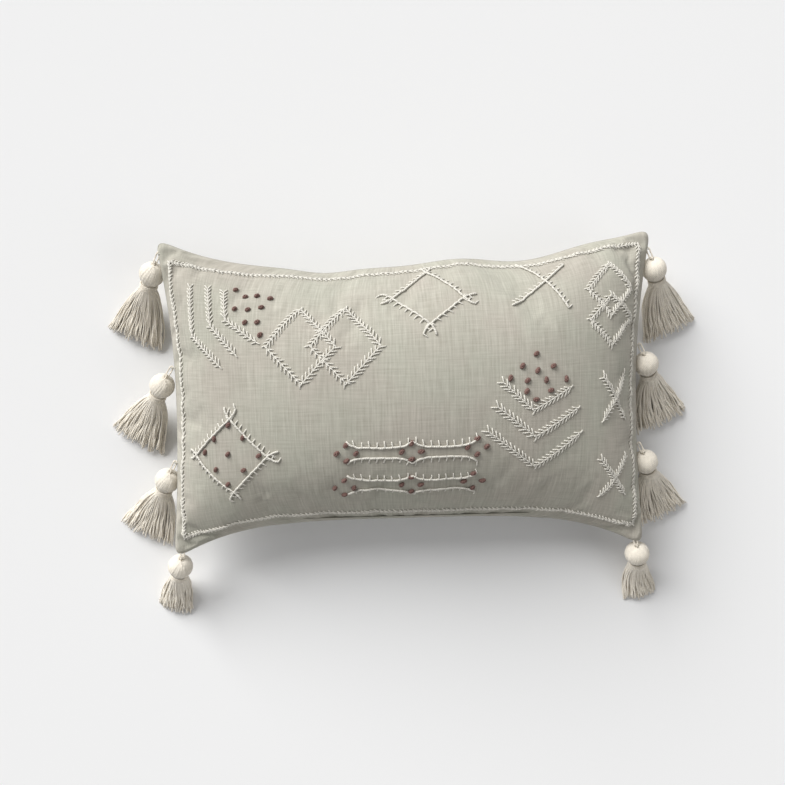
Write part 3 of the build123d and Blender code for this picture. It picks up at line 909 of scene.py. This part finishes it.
def strand_paths(f, seed, outer):
    """Yarn strands of one tassel.

    On the head an outer strand follows (s, R) = (middle - r cos a, r sin a).  Below the neck all
    strands spread from a round bundle to a flat fan, with slow waves and uneven ends.
    """
    t = settings().tassels
    random = rng(seed)
    m = t.outer_strands if outer else t.inner_strands
    phi = (np.arange(m) + random.uniform(-0.3, 0.3, m)) * 2 * np.pi / m
    rho = random.uniform(0.93, 1.0, m) if outer else np.sqrt(random.uniform(0.0, 0.85, m))
    longest, fan = CORNER_SKIRT if f.corner else SIDE_SKIRT
    room = (f.length - NECK_END) * longest * random.uniform(0.86, 1.0, m)
    fraction = np.linspace(0, 1, 15)[None] ** 0.9
    s = NECK_END + fraction * room[:, None]
    fan = fan * random.uniform(0.8, 1.15, (m, 1))
    wide = NECK_RADIUS + (fan - NECK_RADIUS) * fraction**0.75
    thick = (NECK_RADIUS + (SKIRT_THICKNESS - NECK_RADIUS) * fraction
             + SKIRT_BELLY * np.sin(np.pi * fraction))
    amplitude = STRAND_WAVE * random.uniform(0.3, 1.0, (m, 1)) * fraction
    wave = random.uniform(14, 26, (m, 1))
    swirl = wave * fraction / 2 + random.uniform(0, 2 * np.pi, (m, 1))
    y = rho[:, None] * wide * np.cos(phi)[:, None] + amplitude * np.sin(swirl)
    z = rho[:, None] * thick * np.sin(phi)[:, None] + amplitude * np.cos(swirl)
    z = z - SKIRT_SAG * np.sin(np.pi * np.minimum(fraction * 1.1, 1.0))
    if outer:
        a = np.radians(np.linspace(9, 146, 12))[None]
        r = t.head_radius
        head_s = np.broadcast_to(HEAD_MIDDLE - r * np.cos(a), (m, 12))
        twist = phi[:, None] + HEAD_TWIST * (a - 1.2)
        head_r = r * np.sin(a) * random.uniform(0.98, 1.02, (m, 1))
        neck_s = np.full((m, 1), 0.5 * (NECK_START + NECK_END))
        s = np.concatenate([head_s, neck_s, s], 1)
        y = np.concatenate([head_r * np.cos(twist), (NECK_RADIUS * np.cos(phi))[:, None], y], 1)
        z = np.concatenate([head_r * np.sin(twist), (NECK_RADIUS * np.sin(phi))[:, None], z], 1)
    else:
        s = s - INNER_SETBACK
    points = f.place(s, y, z)
    over = (points[..., 2] - STRAND_REST) / STRAND_SOFTNESS
    points[..., 2] = STRAND_REST + STRAND_SOFTNESS * np.logaddexp(0, over) - STRAND_SINK
    return points, unit(f.up + 0.3 * (points - f.eyelet) / f.length)


def twisted_cord(path, normal, radius, lay=0.0034, plies=2):
    """Plied cord: each ply circles the path inside the cord's radius, once per `lay`."""
    run = length_along(path)
    fine = np.linspace(0, run[-1], round(8 * run[-1] / lay) + 2)
    path, normal = (np.stack([np.interp(fine, run, line[:, i]) for i in range(3)], -1)
                    for line in (path, normal))
    n, b = square_to(unit(np.gradient(path, axis=0)), normal)
    turn = np.arange(plies)[:, None] * 2 * np.pi / plies + 2 * np.pi * fine[None] / lay
    offset = PLY_OFFSET * radius * (np.cos(turn)[..., None] * n + np.sin(turn)[..., None] * b)
    return tubes(path[None] + offset, offset, PLY_RADIUS * radius)


def loop_part(f):
    """Cord loop: a stadium round the thread bar and the eyelet."""
    a = np.linspace(0, np.pi, 15)
    far = np.linalg.norm(f.eyelet - f.tack) - LOOP_RADIUS
    lines = np.linspace(0, far, 12)[1:-1]
    rise, swing = LOOP_RADIUS * np.sin(a), LOOP_RADIUS * np.cos(a)
    straight = np.full(10, LOOP_RADIUS)
    ahead = np.concatenate([far + rise, lines[::-1], -rise, lines, [far, far + rise[1]]])
    side = np.concatenate([swing, -straight, -swing, straight, [LOOP_RADIUS, swing[1]]])
    path = f.tack + ahead[:, None] * f.heading + side[:, None] * f.across
    return twisted_cord(path, UP + 0 * path, settings().tassels.cord_radius)


def eyelet_part(f):
    """Ring of yarn at the top of the bundle, linked through the cord loop."""
    a = np.linspace(0, 2 * np.pi, 33)
    path = (f.eyelet + EYELET_RADIUS * np.cos(a)[:, None] * f.ahead
            + EYELET_RADIUS * np.sin(a)[:, None] * f.up)
    return twisted_cord(path, f.across + 0 * path, settings().tassels.cord_radius * EYELET_YARN)


def binding_part(f):
    """Wrapping of the neck: a helix (s, R) with s growing evenly with the turn."""
    a = np.linspace(0, 2 * np.pi * WRAPPING_TURNS, 170)
    s = NECK_START + (NECK_END - 0.001 - NECK_START) * a / a[-1]
    r = NECK_RADIUS + WRAPPING_STANDOFF
    path = f.place(s, r * np.cos(a), r * np.sin(a))
    return twisted_cord(path, path - f.place(s, 0 * a, 0 * a), WRAPPING_YARN_RADIUS)


def head_core(f):
    """Ball inside the head: a sphere (s, R) = (middle - r cos a, r sin a) with closed poles."""
    r = settings().tassels.head_radius * HEAD_CORE
    a = np.linspace(0.02, np.pi - 0.02, 24)
    b = np.linspace(0, 2 * np.pi, 33)[:-1]
    aa, bb = np.meshgrid(a, b, indexing="ij")
    points = f.place(HEAD_MIDDLE - r * np.cos(aa), r * np.sin(aa) * np.cos(bb),
                     r * np.sin(aa) * np.sin(bb))
    poles = f.place(HEAD_MIDDLE + np.array([-r, r]), np.zeros(2), np.zeros(2))
    quads, tris = ring_faces(*aa.shape)
    uv = np.zeros((quads.size + tris.size, 2))
    return np.concatenate([points.reshape(-1, 3), poles]), [quads, tris], uv


# ---- materials --------------------------------------------------------------------------------
LINEN_THREAD_PITCH = 0.00078
SHEETING_THREAD_PITCH = 0.0005
HERRINGBONE_WIDTH = 0.0012
HERRINGBONE_PITCH = 0.0009


class Finish:
    """Small builder for one procedural material."""

    def __init__(self, name, roughness, **sockets):
        self.material = bpy.data.materials.new(name)
        self.material.use_nodes = True
        self.tree = self.material.node_tree
        self.shader = self.tree.nodes["Principled BSDF"]
        self.shader.inputs["Roughness"].default_value = roughness
        for socket, value in sockets.items():
            self.shader.inputs[socket.replace("_", " ")].default_value = value

    def node(self, kind, **values):
        """Add a node, set its attributes, and link or set its inputs by name or number."""
        inputs = values.pop("inputs", {})
        made = self.tree.nodes.new(kind)
        for key, value in values.items():
            setattr(made, key, value)
        for key, value in inputs.items():
            if isinstance(value, bpy.types.NodeSocket):
                self.tree.links.new(value, made.inputs[key])
            else:
                made.inputs[key].default_value = value
        return made

    def math(self, operation, a, b=0.0, clamp=False):
        """One math node's result."""
        return self.node("ShaderNodeMath", operation=operation, use_clamp=clamp,
                         inputs={0: a, 1: b}).outputs[0]

    def flat(self):
        """The piece's own uv, in metres on cloth, split into x and y."""
        uv = self.node("ShaderNodeUVMap", uv_map="flat").outputs[0]
        return uv, self.node("ShaderNodeSeparateXYZ", inputs={0: uv}).outputs

    def noise(self, where, stretch, **inputs):
        """Noise over stretched coordinates."""
        where = self.node("ShaderNodeMapping", inputs={"Vector": where, "Scale": stretch}).outputs[0]
        return self.node("ShaderNodeTexNoise", inputs={"Vector": where, **inputs}).outputs[0]

    def object_noise(self, scale, detail=2.0, stretch=(1, 1, 1)):
        """Noise over the object's own coordinates."""
        where = self.node("ShaderNodeTexCoord").outputs["Object"]
        return self.noise(where, stretch, Scale=scale, Detail=detail)

    def flat_noise(self, sx, sy, detail, roughness):
        """Noise over the uv, stretched to sx by sy cells per metre."""
        return self.noise(self.flat()[0], (sx, sy, 1), Scale=1.0, Detail=detail,
                          Roughness=roughness)

    def blend(self, factor, a, b, kind="MIX"):
        """Mixed colour."""
        return self.node("ShaderNodeMix", data_type="RGBA", blend_type=kind,
                         inputs={"Factor": factor, 6: a, 7: b}).outputs[2]

    def weighted(self, a, share_a, b, share_b, clamp=False):
        """Sum of two values, each times its share."""
        return self.math("ADD", self.math("MULTIPLY", a, share_a),
                         self.math("MULTIPLY", b, share_b), clamp)

    def spread(self, value, low, high):
        """Map a value's range to 0 to 1, held at both ends."""
        return self.node("ShaderNodeMapRange",
                         inputs={"Value": value, "From Min": low, "From Max": high}).outputs[0]

    def colour(self, value):
        """Link the base colour."""
        self.tree.links.new(value, self.shader.inputs["Base Color"])

    def bump(self, height, distance, strength):
        """Link a bump from a height between 0 and 1."""
        made = self.node("ShaderNodeBump",
                         inputs={"Height": height, "Distance": distance, "Strength": strength})
        self.tree.links.new(made.outputs[0], self.shader.inputs["Normal"])


def rgba(colour, scale=1.0):
    """Colour setting as four numbers."""
    return tuple(min(1.0, c * scale) for c in colour) + (1.0,)


def woven(f, pitch):
    """Plain weave height: |sin| ridges of warp and weft, each on top in turn."""
    _, xy = f.flat()
    k = math.pi / pitch
    sx = f.math("SINE", f.math("MULTIPLY", xy[0], k))
    sy = f.math("SINE", f.math("MULTIPLY", xy[1], k))
    over = f.math("MULTIPLY", sx, sy)
    ridges = f.math("ADD", f.math("ABSOLUTE", sx), f.math("ABSOLUTE", sy))
    return f.weighted(ridges, 0.35, over, 0.25)


def linen_finish():
    """Greige linen: plain weave with long slubs both ways and faint mottling."""
    c = settings().colours
    f = Finish("greige_linen", 0.92, Sheen_Weight=0.12, Sheen_Roughness=0.5,
               Specular_IOR_Level=0.25)
    weave = woven(f, LINEN_THREAD_PITCH)
    slub_up = f.spread(f.flat_noise(620, 26, 3, 0.65), 0.35, 0.68)
    slub_across = f.spread(f.flat_noise(30, 680, 3, 0.65), 0.35, 0.68)
    slubs = f.weighted(slub_up, 0.6, slub_across, 0.4)
    tone = f.weighted(slubs, 0.75, weave, 0.35, True)
    base = f.blend(tone, rgba(c.linen_dark), rgba(c.linen))
    pink = f.blend(1.0, base, (1.0, 0.975, 0.972, 1), "MULTIPLY")
    green = f.blend(1.0, base, (0.978, 1.0, 0.978, 1), "MULTIPLY")
    patches = f.spread(f.flat_noise(13, 11, 3, 0.55), 0.38, 0.62)
    f.colour(f.blend(patches, green, pink))
    f.bump(f.weighted(weave, 0.5, slubs, 0.5), 0.0004, 0.75)
    return f.material


def yarn_finish(name, colour, lay, sheen=0.25, fuzz=0.35, depth=0.62):
    """Plied yarn: slanting plies with painted shade in their grooves, with loose fibres on top."""
    f = Finish(name, 0.88, Sheen_Weight=sheen, Sheen_Roughness=0.45)
    _, uv = f.flat()
    turn = f.weighted(uv[0], 4 * math.pi, uv[1], 2 * math.pi / lay)
    ply = f.spread(f.math("SINE", turn), -1.0, 1.0)
    fibres = f.object_noise(1500, 3)
    batch = f.spread(f.object_noise(190, 2), 0.3, 0.7)
    # painted shade: the grooves between the plies get the yarn colour times depth, the ply tops about
    # the full colour
    groove_shade = f.blend(batch, rgba(colour, depth), rgba(colour, depth + 0.1))
    light = f.blend(batch, rgba(colour, 0.94), rgba(colour, 1.05))
    tone = f.weighted(ply, 1 - fuzz, fibres, fuzz, True)
    f.colour(f.blend(f.spread(tone, 0.1, 0.6), groove_shade, light))
    f.bump(tone, 0.0005, 0.8)
    return f.material


def cotton_finish():
    """White sheeting of the insert's bag."""
    f = Finish("insert_sheeting", 0.9, Sheen_Weight=0.1)
    c = settings().colours.insert
    weave = woven(f, SHEETING_THREAD_PITCH)
    f.colour(f.blend(weave, rgba(c, 0.88), rgba(c)))
    f.bump(weave, 0.0002, 0.6)
    return f.material


def filling_finish():
    """Loose white fibre."""
    f = Finish("fibre_filling", 0.95, Sheen_Weight=0.3)
    clumps = f.object_noise(60, 6)
    f.colour(f.blend(clumps, (0.74, 0.74, 0.73, 1), (0.93, 0.93, 0.92, 1)))
    f.bump(clumps, 0.004, 0.8)
    return f.material


def tape_finish():
    """Herringbone zip tape."""
    f = Finish("zip_tape_weave", 0.88, Sheen_Weight=0.1)
    c = settings().colours.metal
    where = f.node("ShaderNodeTexCoord").outputs["Object"]
    xyz = f.node("ShaderNodeSeparateXYZ", inputs={0: where}).outputs
    slope = f.math("PINGPONG", xyz[2], HERRINGBONE_WIDTH)
    run = f.math("ADD", xyz[0], slope)
    bars = f.math("SINE", f.math("MULTIPLY", run, 2 * math.pi / HERRINGBONE_PITCH))
    tone = f.spread(bars, -1.0, 1.0)
    f.colour(f.blend(tone, rgba(c, 0.75), rgba(c, 1.15)))
    f.bump(tone, 0.0002, 0.6)
    return f.material


def coil_finish():
    """Smooth nylon of the zip's teeth."""
    f = Finish("zip_nylon", 0.42)
    c = settings().colours.metal
    f.colour(f.blend(f.object_noise(900, 2), rgba(c, 0.9), rgba(c, 1.2)))
    return f.material


def painted_finish():
    """Painted zip metal, with a little wear showing through."""
    f = Finish("painted_zip_metal", 0.38)
    c = settings().colours.metal
    wear = f.spread(f.object_noise(420, 5), 0.62, 0.70)
    f.colour(f.blend(wear, rgba(c), (0.50, 0.47, 0.42, 1)))
    f.tree.links.new(f.math("MULTIPLY", wear, 0.7), f.shader.inputs["Metallic"])
    f.bump(f.object_noise(2600, 2), 0.00004, 0.5)
    return f.material


def thread_finish():
    """Matt sewing thread that matches the linen."""
    f = Finish("sewing_thread", 0.85, Sheen_Weight=0.15)
    c = settings().colours.linen
    strands = f.object_noise(2200, 3, (1, 1, 0.3))
    f.colour(f.blend(strands, rgba(c, 0.7), rgba(c, 1.15)))
    f.bump(strands, 0.0002, 0.7)
    return f.material


def floor_finish():
    """Plain pale floor."""
    f = Finish("pale_floor", 0.9)
    c = settings().stage.floor_colour
    f.colour(f.blend(f.object_noise(3.0, 3), rgba(c), rgba(c, 1.01)))
    return f.material


_finishes = {}


def finish(kind):
    """Material of one kind, made once."""
    c = settings().colours
    # yarn_finish's depth (0.74 for the tassels, otherwise 0.62) sets how dark the painted shade in the
    # ply grooves is
    makers = {
        "linen": linen_finish,
        "embroidery": lambda: yarn_finish("embroidery_yarn", c.embroidery, 0.0022),
        "knot": lambda: yarn_finish("knot_yarn", c.knot, 0.0024, 0.1),
        "tassel": lambda: yarn_finish("tassel_yarn", c.tassel, 0.0030, 0.35, 0.6, 0.74),
        "cotton": cotton_finish,
        "filling": filling_finish,
        "tape": tape_finish,
        "nylon": coil_finish,
        "metal": painted_finish,
        "thread": thread_finish,
        "floor": floor_finish,
    }
    if kind not in _finishes:
        _finishes[kind] = makers[kind]()
    return _finishes[kind]


def dress(obj, kind):
    """Give a piece its material."""
    obj.data.materials.clear()
    obj.data.materials.append(finish(kind))
    return obj


def fit_out(obj, kind, slot, body, *nodes):
    """Give a new piece its material and body, and hide the nodes that it stands for; slot is not used.
    """
    dress(obj, kind)
    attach(obj, body)
    if nodes:
        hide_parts(*nodes)
    return obj


# ---- operators --------------------------------------------------------------------------------
SEAM_THREAD_INSET = 0.0022
SEAM_THREAD_RADIUS = 0.00035
SEAM_THREAD_LAY = 0.004
FLOOR_HALF_WIDTH = 15.0
FLOOR_DROP = 0.0004
SUN_ANGLE = math.radians(40)


class PieceOperator:
    """Shared behaviour of the pillow's operators."""
    bl_options = {"REGISTER", "UNDO"}

    def execute(self, context):
        """Build the piece; any failure is raised as an error."""
        self.build()
        return {"FINISHED"}


class PILLOW_OT_cover(PieceOperator, bpy.types.Operator):
    """Blow up the linen cover and add its front panel, back panel and seam thread"""
    bl_idname = "lumbar_pillow.cover"
    bl_label = "Cover"

    def build(self):
        """Both panels share the sewn rim."""
        for side, grid in (("front", cover().front), ("back", cover().back)):
            padded_panel(side, grid, f"{side}_panel_linen", "linen", "cover_linen",
                         f"cover_{side}_panel")
        thread = merged("seam_thread_run", seam_thread_parts())
        fit_out(thread, "thread", "sewing_thread", PILLOW_BODY, "seam_thread")


def padded_panel(side, grid, name, kind, slot, node):
    """One cloth panel that filling presses outwards."""
    panel = panel_mesh(name, grid, side == "front")
    fit_out(panel, kind, slot, PILLOW_BODY, node)


def seam_thread_parts():
    """Twisted thread along the seam, a little inside the cloth's rim, open along the zip."""
    g = cover().front
    rim = np.concatenate([g[:-1, -1], g[-1, ::-1][:-1], g[::-1, 0][:-1], g[0, :-1]])
    start = int(np.argmin(np.hypot(rim[:, 0] + SLOT_HALF_LENGTH + 0.008, rim[:, 1] + 0.14)))
    rim = np.roll(rim, -start, axis=0)
    zip_side = (np.abs(rim[:, 0]) < SLOT_HALF_LENGTH + 0.006) & (rim[:, 1] < 0)
    path = rim[~zip_side]
    path[:, :2] -= SEAM_THREAD_INSET * unit(path[:, :2] * [0.6, 1.0])
    return [twisted_cord(path, UP + 0 * path, SEAM_THREAD_RADIUS, SEAM_THREAD_LAY)]


class PILLOW_OT_insert(PieceOperator, bpy.types.Operator):
    """Add the sewn insert and its fibre filling inside the cover"""
    bl_idname = "lumbar_pillow.insert"
    bl_label = "Insert"
    casing_scale = 0.920
    filling_scale = 0.908

    def build(self):
        """The insert is the cover's shape drawn in about the pillow's middle."""
        for side, grid in (("front", cover().front), ("back", cover().back)):
            padded_panel(side, drawn_in(grid, self.casing_scale), f"insert_bag_{side}", "cotton",
                         "insert_fabric", f"insert_casing_{side}")
        filling = filling_mesh(self.filling_scale)
        fit_out(filling, "filling", "fibre_filling", PILLOW_BODY, "insert_filling")


def drawn_in(grid, scale):
    """Coarser grid scaled about the pillow's middle, with its rim closed on the seam plane."""
    middle = np.array([0.0, 0.0, SEAM_Z])
    out = middle + (grid[::DENSITY, ::DENSITY] - middle) * scale
    out[rim_of(out.shape[:2]), 2] = SEAM_Z
    return out


def filling_mesh(scale):
    """Closed lump of fibre: both drawn-in grids sharing one rim."""
    front = drawn_in(cover().front, scale)
    used, faces, top, low = bag_faces(front.shape[:2])
    both = np.zeros((2 * top.size, 3))
    both[low] = drawn_in(cover().back, scale)
    both[top] = front
    return new_mesh("fibre_filling_lump", both[used], [faces])


class PILLOW_OT_zip(PieceOperator, bpy.types.Operator):
    """Wind the zip's coils and finish its tapes, stops, slider and pull"""
    bl_idname = "lumbar_pillow.zip"
    bl_label = "Zip"
    coil_pitch = 0.0012
    wire_radius = 0.00027
    end_gap = 0.0005
    turn_steps = 9

    def build(self):
        """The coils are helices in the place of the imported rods."""
        for side in ("front", "back"):
            low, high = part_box(f"zip_coil_{side}")
            coil = merged(f"zip_teeth_{side}", [self.helix(low, high)])
            fit_out(coil, "nylon", "zip_coil", PILLOW_BODY, f"zip_coil_{side}")
            dress(frame["nodes"][f"zip_tape_{side}"], "tape")
        for node in ("zip_stops", "zip_slider", "zip_pull_tab"):
            dress(frame["nodes"][node], "metal")

    def helix(self, low, high):
        """Helix (x, r cos a, r sin a) that fills a long box."""
        middle = 0.5 * (np.array(low) + np.array(high))
        radius = 0.5 * (high.z - low.z) - self.wire_radius
        turns = (high.x - low.x - 2 * self.end_gap) / self.coil_pitch
        a = np.arange(round(turns * self.turn_steps)) * 2 * np.pi / self.turn_steps
        x = low.x + self.end_gap + self.coil_pitch * a / (2 * np.pi)
        ring = np.stack([0 * a, np.cos(a), np.sin(a)], -1)
        path = np.stack([x, middle[1] + 0 * a, middle[2] + 0 * a], -1) + radius * ring
        return tubes(path[None], ring[None], self.wire_radius, 5)


class PILLOW_OT_embroidery(PieceOperator, bpy.types.Operator):
    """Embroider the border, the motifs and the knots on the front panel"""
    bl_idname = "lumbar_pillow.embroidery"
    bl_label = "Embroidery"

    def build(self):
        """Each motif is one piece of separate laid stitches."""
        for node, parts in motif_parts().items():
            piece = merged(node + "_stitches", parts)
            knots = node == "yarn_knots"
            kind, slot = ("knot", "knot_yarn") if knots else ("embroidery", "embroidery_yarn")
            fit_out(piece, kind, slot, PILLOW_BODY, node)


class PILLOW_OT_tassels(PieceOperator, bpy.types.Operator):
    """Hang the eight tassels, strand by strand"""
    bl_idname = "lumbar_pillow.tassels"
    bl_label = "Tassels"

    def build(self):
        """Bundle and binding move together; the cord loop turns on its thread bar."""
        for i, name in enumerate(TASSEL_NAMES):
            f = TasselFrame(name)
            radius = settings().tassels.strand_radius
            outer = tubes(*strand_paths(f, 900 + 2 * i, True), radius, 6)
            inner = tubes(*strand_paths(f, 901 + 2 * i, False), radius, 5)
            bundle = merged(name + "_bundle", [outer, inner, head_core(f), eyelet_part(f)])
            fit_out(bundle, "tassel", "tassel_yarn", name, name + "_yarn")
            binding = merged(name + "_wrapping", [binding_part(f)])
            fit_out(binding, "tassel", "tassel_yarn", name, name + "_binding")
            loop = merged(name + "_cord", [loop_part(f)])
            fit_out(loop, "tassel", "tassel_yarn", name + "_hanger", name + "_loop")
        dress(frame["nodes"]["tassel_bar_tacks"], "thread")


class PILLOW_OT_stage(PieceOperator, bpy.types.Operator):
    """Lay the pale floor and set the soft lights and the camera"""
    bl_idname = "lumbar_pillow.stage"
    bl_label = "Stage"

    def build(self):
        """A floor, an even sky, two wide suns and the camera."""
        s = settings().stage
        corners = np.array([[-1, -1, 0], [1, -1, 0], [1, 1, 0], [-1, 1, 0]]) * FLOOR_HALF_WIDTH
        floor = new_mesh("floor", corners - FLOOR_DROP * UP, [np.array([[0, 1, 2, 3]])])
        dress(floor, "floor")
        world = bpy.data.worlds.new("studio")
        world.use_nodes = True
        sky = world.node_tree.nodes["Background"]
        sky.inputs["Color"].default_value = (1.0, 1.0, 1.0, 1.0)
        sky.inputs["Strength"].default_value = s.sky_strength
        bpy.context.scene.world = world
        bpy.context.scene.view_settings.view_transform = "Standard"
        self.sun("key", s.key_direction, s.key_strength)
        self.sun("fill", s.fill_direction, s.fill_strength)
        self.camera(s)

    def sun(self, name, direction, strength):
        """Wide, soft sun."""
        data = bpy.data.lights.new(name, "SUN")
        data.energy = strength
        data.angle = SUN_ANGLE
        lamp = bpy.data.objects.new(name, data)
        lamp.location = Vector(direction)
        lamp.rotation_euler = (-Vector(direction)).to_track_quat("-Z", "Y").to_euler()
        bpy.context.scene.collection.objects.link(lamp)

    def camera(self, s):
        """Camera that looks down at the front with +Y up, turned a little about its own axis."""
        data = bpy.data.cameras.new("camera")
        data.lens = s.lens
        camera = bpy.data.objects.new("camera", data)
        ahead = (Vector(s.camera_target) - Vector(s.camera_place)).normalized()
        right = ahead.cross(Vector((0, 1, 0))).normalized()
        look = Matrix((right, right.cross(ahead), -ahead)).transposed()
        turn = Matrix.Rotation(s.camera_roll, 3, "Z")
        camera.matrix_world = Matrix.Translation(s.camera_place) @ (look @ turn).to_4x4()
        bpy.context.scene.collection.objects.link(camera)
        bpy.context.scene.camera = camera


class PILLOW_PT_panel(bpy.types.Panel):
    """Sidebar panel with the pillow's settings and pieces"""
    bl_idname = "PILLOW_PT_panel"
    bl_label = "Lumbar pillow"
    bl_space_type = "VIEW_3D"
    bl_region_type = "UI"
    bl_category = "Pillow"

    def draw(self, context):
        """List the settings, then the operators."""
        for key in SETTING_GROUPS:
            group = getattr(context.scene.lumbar_pillow, key)
            box = self.layout.box()
            box.label(text=key.capitalize())
            for prop in group.__annotations__:
                box.prop(group, prop)
        for operator in OPERATORS:
            self.layout.operator(operator.bl_idname)


OPERATORS = (PILLOW_OT_cover, PILLOW_OT_insert, PILLOW_OT_zip, PILLOW_OT_embroidery,
             PILLOW_OT_tassels, PILLOW_OT_stage)
CLASSES = (*SETTING_GROUPS.values(), PillowSceneSettings, *OPERATORS, PILLOW_PT_panel)


def register():
    """Register every class and the scene's settings."""
    for cls in CLASSES:
        bpy.utils.register_class(cls)
    bpy.types.Scene.lumbar_pillow = bpy.props.PointerProperty(type=PillowSceneSettings)


def unregister():
    """Remove the settings and every class."""
    del bpy.types.Scene.lumbar_pillow
    for cls in reversed(CLASSES):
        bpy.utils.unregister_class(cls)


def main():
    """Build the whole pillow."""
    register()
    bpy.ops.lumbar_pillow.cover()
    bpy.ops.lumbar_pillow.insert()
    bpy.ops.lumbar_pillow.zip()
    bpy.ops.lumbar_pillow.embroidery()
    bpy.ops.lumbar_pillow.tassels()
    bpy.ops.lumbar_pillow.stage()
    bpy.context.view_layer.update()


if __name__ == "__main__":
    main()
